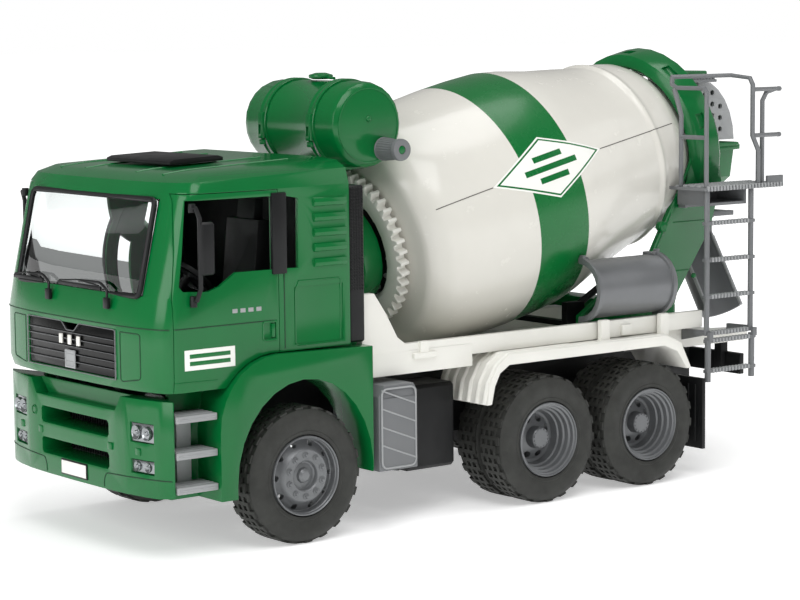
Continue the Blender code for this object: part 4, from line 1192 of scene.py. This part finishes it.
@dataclass
class Door:
    """A front door with its pillar strip, handle and creases.

    Attributes:
        side: Which side of the truck.
    """

    side: Side

    def build(self) -> None:
        """Makes the door and what rides on it."""
        sign, word = self.side.value, self.side.word
        body = f"door_{word}"
        door = moulded(body, 0.4)
        dressed(door, GREEN, body)
        inward = Vector((0, -sign, 0))
        strip = block(f"door_pillar_strip_{word}", (141.8, 151.0), (sign * 81.6, sign * 84.3),
                      (145.6, 188.2), 0.7)
        dressed(strip, BLACK, body)
        grip = block(f"door_grip_{word}", (149.4, 151.6), (sign * 80.6, sign * 83.3), (112.6, 119.8), 0.6)
        lip = tube(f"door_grip_edge_{word}", eased([at(148.2, sign * 90, 111.2),
                                                    at(157.2, sign * 90, 111.2),
                                                    at(157.2, sign * 90, 121.2),
                                                    at(148.2, sign * 90, 121.2)], 1.6),
                   0.45, door, inward, 2)
        dressed(joined(f"door_handle_{word}", [grip, lip]), GREEN, body)
        for name, start, end in (("waist", (150, 121.5), (211.4, 121.5)),
                                 ("sill", (186, 93.5), (211.6, 94.0))):
            crease = tube(f"door_{name}_crease_{word}",
                          even(at(start[0], sign * 95, start[1]), at(end[0], sign * 95, end[1])), 0.3, door,
                          inward, 2)
            # The waist crease is dark green: painted shade in the crease. The sill crease keeps the door's
            # green.
            dressed(crease, GREEN_GAP_PAINTED_SHADE if name == "waist" else GREEN, body)
        label = block(f"door_plain_label_{word}", (175, 206), (sign * 82.6, sign * 83.25), (99.8, 110.4),
                      0.2)
        dressed(label, LABEL_WHITE, body)
        bars = [block("label_bar", (x, x + w), (sign * 83.0, sign * 83.4), (z, z + 2.2), 0.15) for x, w,
                z in ((178, 25, 106.0), (178, 25, 102.2))]
        dressed(joined(f"door_label_bars_{word}", bars), BAND_GREEN, body)
        marks = [block("mark", (x, x + 3.2), (sign * 82.6, sign * 83.2), (127.2, 129.4), 0.2) for x in (158,
                163, 168, 173)]
        dressed(joined(f"door_plain_marks_{word}", marks), LIGHT_GREY, body)
        dressed(moulded(f"mirror_{word}", 0.3), BLACK, f"mirror_{word}")


# ---------------------------------------------------------------- front end


@dataclass
class FrontEnd:
    """Bumper with lamps, covers, slots and a blank number plate, and the steps beside it.

    Attributes:
        lamp_level: Height of the headlights' middle.
        fog_level: Height of the fog lamps' middle.
    """

    lamp_level: float = 67.0
    fog_level: float = 49.2

    def build(self) -> None:
        """Makes the bumper and its fittings."""
        bumper = moulded("bumper", 0.6)
        dressed(bumper, GREEN, Body.CHASSIS.value)
        self.lamps(bumper)
        self.covers(bumper)
        self.number_plate(bumper)
        self.lip(bumper)
        self.slot_bars()
        self.step_ridges()

    def lamps(self, bumper: bpy.types.Object) -> None:
        """Twin round reflectors in each headlight and fog lamp."""
        for side in Side:
            sign, word = side.value, side.word
            dressed(moulded(f"headlight_{word}", 0.3), REFLECTOR, Body.CHASSIS.value)
            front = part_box(f"headlight_{word}")[1].x / MM - DATUM_X
            bowls = []
            for y, radius in ((58.6, 3.9), (66.6, 3.7)):
                foot = at(front - 0.5 - (y - 58.6) * 0.14, sign * y, self.lamp_level)
                bowls.append(turned("bowl", [(0, 1.3), (0.9, 1.1), (1.3, 0.2), (2.6, 0.3),
                                             (radius - 0.2, 1.0), (radius, 0.9), (radius, -0.6), (0, -0.6)],
                                             foot, FORWARD, 24))
            dressed(joined(f"headlight_bowls_{word}", bowls), REFLECTOR, Body.CHASSIS.value)
            plan = [at(214, sign * 53.6, 46), at(220.6, sign * 53.6, 46), at(218.6, sign * 66, 46),
                    at(217.2, sign * 71.8, 46), at(213, sign * 71.8, 46)]
            fog = plate(f"fog_lamp_{word}", plan, Vector((0, 0, 6.4 * MM)), 0.4)
            dressed(fog, REFLECTOR, Body.CHASSIS.value)
            bulbs = [turned("fog_bowl", [(0, 1.1), (0.9, 0.8), (1.2, 0.1), (2.5, 0.7), (2.7, 0.5),
                                         (2.7, -0.5), (0, -0.5)],
                            at(219.9 - (y - 57.5) * 0.16, sign * y, self.fog_level), FORWARD,
                            20) for y in (58.0, 66.0)]
            dressed(joined(f"fog_bowls_{word}", bulbs), REFLECTOR, Body.CHASSIS.value)

    def covers(self, bumper: bpy.types.Object) -> None:
        """Small square covers and the round tow-eye cover.

        Args:
            bumper: The bumper that they sit on.
        """
        parts = []
        for y, z in ((-36.0, 57.2), (36.0, 57.2), (60.0, 57.0), (-60.0, 57.0)):
            place = facing(bumper, at(240, y, z), BACKWARD)
            x = place.x / MM - DATUM_X
            parts.append(block("cover", (x - 0.8, x + 0.55), (y - 2.1, y + 2.1), (z - 1.9, z + 1.9), 0.35))
        place = facing(bumper, at(240, -43, 67), BACKWARD)
        parts.append(turned("tow_cover", [(0, 0.5), (1.6, 0.5), (1.9, 0.1), (2.2, 0.1), (2.4, 0.6),
                                          (2.7, 0.4), (2.7, -0.6), (0, -0.6)], place, FORWARD, 24))
        dressed(joined("bumper_covers", parts), GREEN, Body.CHASSIS.value)

    def number_plate(self, bumper: bpy.types.Object) -> None:
        """Blank white plate in a dark frame.

        Args:
            bumper: The bumper that it sits on.
        """
        x = facing(bumper, at(240, 0, 40), BACKWARD).x / MM - DATUM_X
        dressed(block("number_plate_frame", (x - 1, x + 0.5), (-13.4, 13.4), (35.6, 44.2), 0.3), BLACK,
                Body.CHASSIS.value)
        dressed(block("number_plate_blank", (x - 0.6, x + 0.8), (-12.6, 12.6), (36.4, 43.4), 0.25),
                LABEL_WHITE, Body.CHASSIS.value)

    def lip(self, bumper: bpy.types.Object) -> None:
        """The part line of the lower lip and the line beneath the headlights."""
        for side in Side:
            sign = side.value
            path = [at(240, sign * 82.0, 43.5), at(240, sign * 60, 43.2), at(240, sign * 32, 42.4),
                    at(240, sign * 30, 38.5), at(240, sign * 30, 34.8)]
            # Dark green tube: painted shade in the part line.
            dressed(tube(f"bumper_lip_line_{side.word}", eased(path, 2), 0.32, bumper, BACKWARD, 2),
                    GREEN_GAP_PAINTED_SHADE, Body.CHASSIS.value)

    def slot_bars(self) -> None:
        """Fine upright ribs at the back of both air slots."""
        parts = []
        for low, high in ((61.2, 70.8), (44.2, 53.8)):
            bar = block("slot_rib", (202.6, 203.6), (-38, -37.2), (low, high), 0.2, 1)
            parts.append(rows_of("slot_ribs", bar, ((31, Vector((0, 2.5 * MM, 0))),)))
        dressed(joined("bumper_slot_ribs", parts), BLACK, Body.CHASSIS.value)

    def step_ridges(self) -> None:
        """Three raised lines along each tread."""
        for side in Side:
            sign, word = side.value, side.word
            dressed(moulded(f"step_treads_{word}", 0.35), LIGHT_GREY, Body.CHASSIS.value)
            parts = []
            for top in (76.8, 58.0, 40.0):
                for y in (72.5, 76.5, 80.5):
                    parts.append(tube("ridge", [at(188.6, sign * y, top), at(211.0, sign * y, top)], 0.45,
                                      steps=2))
                parts.append(tube("nose_ridge",
                                  [at(188.6, sign * 84.2, top - 1.8), at(211.0, sign * 84.2, top - 1.8)],
                                  0.4, steps=2))
            dressed(joined(f"step_ridges_{word}", parts), LIGHT_GREY, Body.CHASSIS.value)


# ---------------------------------------------------------------- chassis


@dataclass
class Chassis:
    """Fuel tank, subframe and fenders with their ribs and strips.

    Attributes:
        fender_ribs: Each rear fender rib's distance from the middle.
    """

    fender_ribs: Sequence[float] = (48.5, 56.0, 63.5, 71.0, 78.5, 85.0)

    def build(self) -> None:
        """Makes the ribbed fenders, the tank's strips and the beam brackets."""
        self.fuel_tank()
        self.fenders()
        self.brackets()
        self.tail_lamps()
        self.mud_flaps()

    def fuel_tank(self) -> None:
        """Grey tank with a rim and four slanting strips on its outer face, both light grey; on the strips
        the light grey is painted highlight.
        """
        dressed(moulded("fuel_tank", 1.6), GREY, Body.CHASSIS.value)
        low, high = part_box("fuel_tank")
        front, rear = high.x / MM - DATUM_X - 1.6, low.x / MM - DATUM_X + 1.6
        foot, top, y = low.z / MM + 1.6, high.z / MM - 1.8, high.y / MM - 0.15
        rim = eased([at(rear, y, foot + 12), at(rear, y, top), at(front, y, top), at(front, y, foot),
                     at(rear, y, foot), at(rear, y, foot + 12)], 4)
        strips = [tube("rim", rim, 0.55)]
        for i in range(4):
            level = foot + 4 + i * 10.0
            strips.append(tube("strip", [at(front, y, level + 9), at(rear, y, level)], 0.5, steps=2))
        # Light grey strips: painted highlights on the tank's slanting ribs.
        dressed(joined("fuel_tank_strips", strips), LIGHT_GREY, Body.CHASSIS.value)

    def fenders(self) -> None:
        """White fenders over the rear wheels, with rounded ribs along them."""
        for side in Side:
            skin = moulded(f"rear_mudguard_{side.word}", 0.8)
            dressed(skin, WHITE, Body.CHASSIS.value)
            ribs = []
            for y in self.fender_ribs:
                path = [at(x, side.value * y, 130) for x in (8.7, 8.0, 7.0, 5.5, 3.5, 1.0, -2, -5, -8, -12,
                                                             -20, -40, -60, -80, -84, -92, -110, -128, -131,
                                                             -136, -141, -145, -149)]
                if 76 < y < 82:
                    path = path[:13]
                ribs.append(tube("rib", path, 1.7, skin, DOWN, 4, 1.0))
            dressed(joined(f"rear_mudguard_ribs_{side.word}", ribs), WHITE, Body.CHASSIS.value)

    def brackets(self) -> None:
        """Ledges and lugs on the subframe's beams."""
        for side in Side:
            sign = side.value
            parts = [block("ledge", (37, 53), (sign * 74.5, sign * 78.6), (91.4, 94.4), 0.5),
                     block("lug", (42, 48), (sign * 74.5, sign * 77.8), (94, 100.6), 0.6),
                     block("lug", (-112, -104), (sign * 74.5, sign * 78.0), (90.6, 97), 0.6)]
            dressed(joined(f"subframe_brackets_{side.word}", parts), WHITE, Body.CHASSIS.value)

    def tail_lamps(self) -> None:
        """Smoked lenses at the ends of the tail bar."""
        for side in Side:
            sign = side.value
            lens = [block("lens", (-221.2, -219.0), (sign * (40.6 + i * 7.1), sign * (47.2 + i * 7.1)),
                          (57.6, 65.4), 0.5) for i in range(3)]
            dressed(joined(f"tail_lamps_{side.word}", lens), REFLECTOR, Body.CHASSIS.value)

    def mud_flaps(self) -> None:
        """Upright ribs on the rear mud flaps."""
        for side in Side:
            parts = [tube("flap_rib", [at(-162.4, side.value * y, 21), at(-162.4, side.value * y, 56)], 0.6,
                          steps=2) for y in (50, 56, 62, 68, 74, 80)]
            dressed(joined(f"mud_flap_ribs_{side.word}", parts), BLACK, Body.CHASSIS.value)


# ---------------------------------------------------------------- mixer


@dataclass
class WaterTank:
    """Green water tank behind the cab with straps, end rings, valves and the turning knob.

    Attributes:
        centre: The tank's middle.
        radius: Its outer radius.
        half: Half its length.
        strap_offset: Each strap's distance from the middle.
        knob: Where the knob leaves the tank.
    """

    centre: Point = (61.3, 5.8, 219.5)
    radius: float = 24.2
    half: float = 44.0
    strap_offset: float = 23.0
    knob: Point = (51.2, 49.8, 206.0)

    def build(self) -> None:
        """Makes the tank and its fittings."""
        dressed(moulded("water_tank", 0.9), GREEN, Body.CHASSIS.value, 40)
        x, y, z = self.centre
        left = Vector((0, 1, 0))
        rings = []
        for sign in (1, -1):
            foot = at(x, y + sign * self.half, z)
            rings.append(turned("end_seam", [(20.0, -0.3), (20.0, 0.25), (20.5, 0.35), (20.9, 0.2),
                                             (20.9, -0.3), (20.0, -0.3)], foot, left * sign, 72))
            rings.append(turned("end_boss", [(0, 1.2), (0.9, 1.1), (1.5, 0.7), (1.8, 0.1), (1.8, -0.5),
                                             (0, -0.5)], foot + Vector((0, 0, 3.5)) * MM, left * sign, 24))
        dressed(joined("water_tank_end_rings", rings), GREEN, Body.CHASSIS.value, 40)
        self.straps()
        self.valves()
        self.make_knob()

    def straps(self) -> None:
        """Two bands round the tank, each with its clasp."""
        x, y, z = self.centre
        left = Vector((0, 1, 0))
        parts = []
        for offset in (self.strap_offset, -self.strap_offset):
            r = self.radius
            band = [(r - 0.6, -3.4), (r + 0.9, -3.4), (r + 1.25, -2.9), (r + 1.25, -2.0), (r + 0.95, -1.6),
                    (r + 0.95, 1.6), (r + 1.25, 2.0), (r + 1.25, 2.9), (r + 0.9, 3.4), (r - 0.6, 3.4),
                    (r - 0.6, -3.4)]
            parts.append(turned("strap", band, at(x, y + offset, z), left, 72))
            clasp = block("clasp", (x + r - 0.5, x + r + 2.4), (y + offset - 2.6, y + offset + 2.6),
                          (z - 8.5, z + 6.5), 0.7)
            clasp = carved(clasp, block("clasp_gap", (x + r + 1.2, x + r + 4),
                                        (y + offset - 1.1, y + offset + 1.1), (z - 6, z - 0.5), 0.3))
            parts += [clasp, block("clasp_foot", (x + r - 0.5, x + r + 1.6),
                                   (y + offset - 2.2, y + offset + 2.2), (z - 12, z - 9), 0.5)]
        dressed(joined("water_tank_straps", parts), GREEN, Body.CHASSIS.value, 40)

    def valves(self) -> None:
        """Filler cap and two valves on the top."""
        cap = moulded("tank_cap", 0.4)
        dressed(cap, GREEN, Body.CHASSIS.value)
        low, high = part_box("tank_cap")
        x, y = (low.x + high.x) / 2 / MM - DATUM_X, (low.y + high.y) / 2 / MM
        top = self.centre[2] + self.radius
        parts = []
        for dx, dy, tall, r in ((0.5, 8.4, 3.4, 1.7), (-0.5, 12.6, 2.6, 1.3), (0.0, -8.2, 2.4, 1.5)):
            parts.append(turned("valve", [(0, tall), (r * 0.8, tall), (r, tall - 0.5), (r, tall - 1.2),
                                          (r * 0.6, tall - 1.5), (r * 0.6, 0.8), (r * 1.4, 0.5),
                                          (r * 1.4, -0.8), (0, -0.8)], at(x + dx, y + dy, top),
                                          Vector((0, 0, 1)), 20))
        parts.append(tube("valve_pipe", eased([at(x, y - 9, top + 1.4), at(x, y - 3, top + 1.8),
                                               at(x, y + 13, top + 1.2)], 2), 0.8))
        dressed(joined("tank_valves", parts), GREEN, Body.CHASSIS.value)

    def make_knob(self) -> None:
        """Grey tapered knob with knurls and a green core."""
        foot, left = at(*self.knob), Vector((0, 1, 0))
        profile = [(0, 14.6), (2.2, 14.6), (2.4, 17.1), (4.9, 17.4), (5.9, 17.1), (6.1, 16.2), (6.1, 14.4),
                   (5.5, 13.9), (5.2, 13.0), (6.3, 1.0), (6.6, 0.6), (6.6, 0.2), (6.2, 0.05), (0, 0.05)]
        body = turned("knob_body", profile, foot, left, 64)
        rib = tube("knurl", [foot + Vector((0, 1.4, 6.2)) * MM, foot + Vector((0, 13.2, 5.15)) * MM], 0.42,
                   steps=1)
        ribs = ring("knurls", rib, 26, foot, left)
        knob = dressed(joined("drive_knob_knurled", [body, ribs]), GREY, Body.KNOB.value)
        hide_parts("drive_knob")
        core = turned("knob_core", [(0, 17.0), (2.2, 17.0), (2.6, 16.6), (2.6, 14.5), (0, 14.5)], foot,
                      left, 6)
        dressed(rounded(core, 0.3), GREEN, Body.KNOB.value)


@dataclass
class RearFrame:
    """Hoop, side plates, hopper and what is fixed to them."""

    def build(self) -> None:
        """Makes the hoop's slots, the plates' ribs and the top plates."""
        drum = Drum()
        foot, axis = at(*drum.foot), drum.axis
        hoop = moulded("drum_rear_frame", 0.5)
        for turn in (-76, -38, 0, 38, 76):
            out = drum.out(turn)
            centre = foot + axis * 228.6 * MM + out * 57.4 * MM
            clear_selection()
            rotation = Matrix((axis, out.cross(axis), out)).transposed().to_euler()
            bpy.ops.mesh.primitive_cube_add(size=1, location=centre, rotation=rotation,
                                            scale=(6.5 * MM, 9.5 * MM, 5.0 * MM))
            carved(hoop, rounded(settled("hoop_slot"), 0.6))
        dressed(hoop, GREEN, Body.CHASSIS.value)
        self.plate_ribs()
        self.top_plates()
        dressed(moulded("hopper", 0.35), GREEN, Body.CHASSIS.value)
        dressed(moulded("hopper_guard", 0.35), LIGHT_GREY, Body.CHASSIS.value)
        lip = eased([at(-213.6, 29.4, 196.6), at(-252, 29.4, 196.6), at(-252, -29.4, 196.6),
                     at(-213.6, -29.4, 196.6)], 5)
        dressed(tube("hopper_rolled_lip", lip, 1.3), GREEN, Body.CHASSIS.value)

    def plate_ribs(self) -> None:
        """Raised edges, a boss and two creases on each side plate."""
        for side in Side:
            y = side.value * 50.5
            edge = [at(-95.5, y, 99.8), at(-118, y, 114.2), at(-140, y, 126.2), at(-153, y, 131.2),
                    at(-170, y, 159.2), at(-187, y, 188.4), at(-191.5, y, 211)]
            parts = [tube("edge_rib", eased(edge, 6), 1.0),
                     tube("fold", [at(-157, y, 131), at(-146, y, 113), at(-136, y, 97)], 0.7),
                     tube("crease", [at(-173, y, 152), at(-204, y, 152)], 0.35),
                     tube("crease", [at(-164, y, 122), at(-186, y, 122)], 0.35),
                     turned("boss", [(0, 2.2), (1.4, 2.2), (1.7, 1.7), (2.2, 1.6), (3.3, 1.5), (3.6, 1.0),
                                     (3.6, -0.6), (0, -0.6)], at(-163, y, 150), Vector((0, side.value, 0)),
                                     28),
                     turned("pin_head", [(0, 1.2), (1.2, 1.0), (1.6, 0.4), (1.6, -0.6), (0, -0.6)],
                            at(-190, y, 118), Vector((0, side.value, 0)), 20)]
            dressed(joined(f"side_plate_ribs_{side.word}", parts), GREEN, Body.CHASSIS.value)

    def top_plates(self) -> None:
        """Green plate from the hoop to the hood, and the grey footboard beside it."""
        plate_top = block("hoop_top_plate", (-226, -189), (-26, 26), (240.4, 243.6), 0.8)
        lip = block("hoop_top_plate_lip", (-226, -223.6), (-26, 26), (236.6, 242.4), 0.6)
        dressed(joined("hoop_top_plate", [plate_top, lip]), GREEN, Body.CHASSIS.value)
        board = block("top_footboard", (-224, -180), (29, 36.5), (236.6, 238.4), 0.4)
        tooth = block("tooth", (-222.6, -221.2), (29.4, 36.2), (238.2, 239.3), 0.25, 1)
        teeth = rows_of("teeth", tooth, ((16, Vector((2.7 * MM, 0, 0))),))
        dressed(joined("top_footboard", [board, teeth]), GREY, Body.CHASSIS.value)


@dataclass
class Platform:
    """Platform, handrails and both ladders, with their serrated treads.

    Attributes:
        rung_x: The ladder's rails along the truck.
        pitch: From rung to rung.
        top_rung: Height of the upper ladder's first rung.
    """

    rung_x: Span = (-207.5, -169.7)
    pitch: float = 22.3
    top_rung: float = 153.2

    def build(self) -> None:
        """Makes the serrations and the loose ends of the rails."""
        self.rungs("ladder_upper_teeth", [self.top_rung - i * self.pitch for i in range(4)], 82.0,
                   Body.CHASSIS)
        self.rungs("ladder_lower_teeth", [63.5, 81.9], 83.2, Body.LADDER)
        self.deck()
        self.rails()

    def rungs(self, name: str, levels: Sequence[float], y: float, body: Body) -> None:
        """Teeth along the front and top of each rung.

        Args:
            name: The piece's name.
            levels: The rungs' heights.
            y: The ladder's distance from the middle.
            body: The body that it moves with.
        """
        parts = []
        for z in levels:
            tooth = block("tooth", (self.rung_x[0] + 3.2, self.rung_x[0] + 4.6), (y - 1.9, y + 2.0),
                          (z - 1.2, z + 1.5), 0.3, 1)
            parts.append(rows_of("teeth", tooth, ((12, Vector((2.75 * MM, 0, 0))),)))
        dressed(joined(name, parts), LIGHT_GREY, body.value)

    def deck(self) -> None:
        """Teeth along the platform's edge and over its deck."""
        tooth = block("tooth", (-231.6, -230.2), (82.2, 85.2), (172.8, 175.9), 0.3, 1)
        teeth = rows_of("deck_teeth", tooth, ((24, Vector((2.72 * MM, 0, 0))),))
        inner = block("tooth", (-231.6, -230.2), (57, 60), (174.4, 175.7), 0.3, 1)
        inner = rows_of("deck_inner_teeth", inner,
                        ((24, Vector((2.72 * MM, 0, 0))), (4, Vector((0, 6.2 * MM, 0)))))
        dressed(joined("platform_teeth", [teeth, inner]), LIGHT_GREY, Body.CHASSIS.value)

    def rails(self) -> None:
        """Rounded ends of the two bars behind the rear rail."""
        parts = []
        for z in (233.0, 205.0):
            parts.append(turned("bar_end", [(0, 0.8), (1.0, 0.5), (1.5, -0.2), (1.5, -2.0), (0, -2.0)],
                                at(-232.0, 82.5, z), BACKWARD, 16))
        dressed(joined("handrail_bar_ends", parts), GREY, Body.CHASSIS.value)


@dataclass
class Chutes:
    """Trough under the hopper and the spare length clipped to the side.

    Attributes:
        start: Top end of the trough's floor.
        fall: Its slope below level, in degrees.
        radius: Half its width.
        length: Along its slope.
    """

    start: Point = (-236.0, -2.0, 150.0)
    fall: float = 59.0
    radius: float = 15.4
    length: float = 66.0

    def build(self) -> None:
        """Makes the rounded lips and the clips; the lips are light grey, painted highlights along the
        trough's rims.
        """
        along = Vector((0, cos(radians(self.fall)), -sin(radians(self.fall))))
        foot = at(*self.start)
        parts = []
        for sign in (1, -1):
            beside = foot + Vector((sign * self.radius, 0, 0)) * MM
            edge = [beside + along * (t * MM) for t in (16, self.length)]
            parts.append(tube("lip", edge, 1.2))
        # Light grey lips: painted highlights on the trough's rims.
        dressed(joined("chute_rolled_lips", parts), LIGHT_GREY, Body.CHUTE.value)
        skin = moulded("chute_extension", 0.3)
        dressed(skin, SILVER, Body.EXTENSION.value)
        pins = [barrel("clip_pin", at(x, 62, 135.6), at(x, 69, 136.4), 1.5, 20) for x in (-84.5, -139.5)]
        hooks = [block("clip", (x - 2.4, x + 2.4), (60, 66), (134.6, 137.2), 0.5) for x in (-84.5, -139.5)]
        dressed(joined("extension_clips", pins + hooks), SILVER, Body.EXTENSION.value)


@dataclass
class Nose:
    """Dark disc at the drum's nose with its ring of light rivets.

    Attributes:
        rivets: How many.
    """

    rivets: int = 14

    def build(self) -> None:
        """Makes the disc and the rivets."""
        drum = Drum()
        foot, axis = at(*drum.foot), drum.axis
        disc = turned("drum_nose_disc", [(12.5, -3.6), (31.5, -3.2), (32.4, -2.4), (32.4, -1.6),
                                         (12.5, -1.6), (12.5, -3.6)], foot, axis, 64)
        dressed(disc, BLACK, Body.DRUM.value)
        rivet = turned("rivet", [(0, -5.2), (0.9, -5.0), (1.4, -4.4), (1.5, -3.3), (0, -3.3)],
                       foot + drum.top * 26.5 * MM, axis, 14)
        dressed(ring("drum_nose_rivets", rivet, self.rivets, foot, axis), LIGHT_GREY, Body.DRUM.value)


# ---------------------------------------------------------------- studio


@dataclass
class Studio:
    """Pale floor, soft lights and the camera.

    Attributes:
        lens: Camera's focal length on a 36 mm sensor.
        place: Camera's place in the frame, in metres.
        azimuth: Its direction round the truck, in degrees.
        elevation: Its height above level.
        roll: Its lean.
    """

    lens: float = 108.5
    place: Point = (0.8822, 1.1103, 0.2752)
    azimuth: float = 142.028
    elevation: float = 6.55
    roll: float = -0.568

    def build(self) -> None:
        """Makes the floor, the lights and the camera."""
        self.floor()
        self.camera()
        self.world()
        self.lamp("key_softbox", (0.55, 1.0, 1.5), 1.0, 12.0)
        self.lamp("overhead_softbox", (-0.3, 0.1, 1.7), 1.0, 9.5)
        self.lamp("front_softbox", (1.7, 0.2, 0.7), 1.0, 11.0)
        self.lamp("rear_softbox", (-1.6, 0.9, 0.9), 1.0, 3.0)

    def floor(self) -> None:
        """A wide floor of matt white board that glows: painted light, weak near the truck and strong far
        from it.
        """
        clear_selection()
        bpy.ops.mesh.primitive_plane_add(size=40.0, location=(0, 0, 0))
        floor = settled("studio_floor")
        finish = MouldedPlastic("matt_white_board", "white_abs", "#ffffff", 0.9, mottle=0.004, grain_mm=2.0,
                                grain_depth_mm=0.002, flow_mm=400.0)
        board = finish.material()
        shader = next(node for node in board.node_tree.nodes if node.type == "BSDF_PRINCIPLED")
        # Painted light: the board glows, from 0.4 near the middle to 0.95 beyond 1.3 m from it.
        shader.inputs["Emission Color"].default_value = linear("#ffffff")
        tree = board.node_tree
        place = add_node(tree, "ShaderNodeTexCoord")
        away = add_node(tree, "ShaderNodeVectorMath", {"operation": "LENGTH"},
                        {"Vector": (place, "Object")})
        glow = add_node(tree, "ShaderNodeMapRange", None,
                        {"Value": (away, "Value"), "From Min": 0.35, "From Max": 1.3, "To Min": 0.4,
                         "To Max": 0.95})
        tree.links.new(glow.outputs["Result"], shader.inputs["Emission Strength"])
        floor.data.materials.append(board)

    def camera(self) -> None:
        """The camera, level with the truck's middle and far off."""
        a, e, r = radians(self.azimuth), radians(self.elevation), radians(self.roll)
        back = Vector((sin(a) * cos(e), -cos(a) * cos(e), sin(e)))
        right = Vector((cos(a), sin(a), 0))
        up = back.cross(right)
        side, high = right * cos(r) + up * sin(r), up * cos(r) - right * sin(r)
        data = bpy.data.cameras.new("camera")
        data.lens = self.lens
        data.sensor_width = 36.0
        data.clip_start, data.clip_end = 0.01, 100.0
        camera = bpy.data.objects.new("camera", data)
        bpy.context.scene.collection.objects.link(camera)
        turn = Matrix((side, high, back)).transposed().to_4x4()
        camera.matrix_world = Matrix.Translation(self.place) @ turn
        bpy.context.scene.camera = camera

    def world(self) -> None:
        """Even white surroundings."""
        world = bpy.data.worlds.new("white_room")
        world.use_nodes = True
        background = world.node_tree.nodes["Background"]
        background.inputs["Color"].default_value = linear("#ffffff")
        nodes = world.node_tree
        seen = add_node(nodes, "ShaderNodeLightPath")
        strength = add_node(nodes, "ShaderNodeMapRange", None,
                            {"Value": (seen, "Is Camera Ray"), "To Min": 0.26, "To Max": 1.0})
        nodes.links.new(strength.outputs["Result"], background.inputs["Strength"])
        bpy.context.scene.world = world
        bpy.context.scene.view_settings.view_transform = "Standard"

    def lamp(self, name: str, place: Point, size: float, power: float) -> None:
        """A square softbox aimed at the truck.

        Args:
            name: The light's name.
            place: Its place in the frame, in metres.
            size: Its side, in metres.
            power: Its strength, in watts.
        """
        data = bpy.data.lights.new(name, "AREA")
        data.size = size
        data.energy = power
        lamp = bpy.data.objects.new(name, data)
        bpy.context.scene.collection.objects.link(lamp)
        lamp.location = place
        lamp.rotation_euler = (Vector((0, 0, 0.1)) - Vector(place)).to_track_quat("-Z", "Y").to_euler()


@dataclass
class CarriedOver:
    """CAD nodes whose shape is right: each gets a skin with softened edges and its finish.

    Attributes:
        bevels: Rounding of a node's edges, in millimetres, where it isn't the usual.
        usual: The usual rounding.
    """

    usual: float = 0.35
    bevels: dict[str, float] = field(default_factory=dict)

    def build(self) -> None:
        """Makes a skin for each node that nothing has replaced yet."""
        slots = {part["node"]: part["material_slot"] for part in frame["record"]["subparts"]}
        for node, source in frame["nodes"].items():
            if source.hide_render:
                continue
            finish = SLOT_FINISH[slots[node]]
            skin = moulded(node, self.bevels.get(node, self.usual))
            dressed(skin, finish, source["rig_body"])


def main() -> None:
    """Builds the truck group by group, then the studio."""
    for wheel in (
        Wheel("front_axle", Body.FRONT_WHEELS, 132.5, 86.1, 24.0, False),
        Wheel("middle_axle", Body.MIDDLE_WHEELS, -38.5, 86.9, 42.0, True),
        Wheel("rear_axle", Body.REAR_WHEELS, -118.2, 86.9, 42.0, True),
    ):
        wheel.build()
    Drum().build()
    for group in (Nose(), Cab(), Door(Side.LEFT), Door(Side.RIGHT), FrontEnd(), Chassis(), WaterTank(),
                  RearFrame(), Platform(), Chutes()):
        group.build()
    CarriedOver().build()
    Studio().build()


if __name__ == "__main__":
    logging.basicConfig(level=logging.INFO, format="%(name)s %(message)s")
    main()
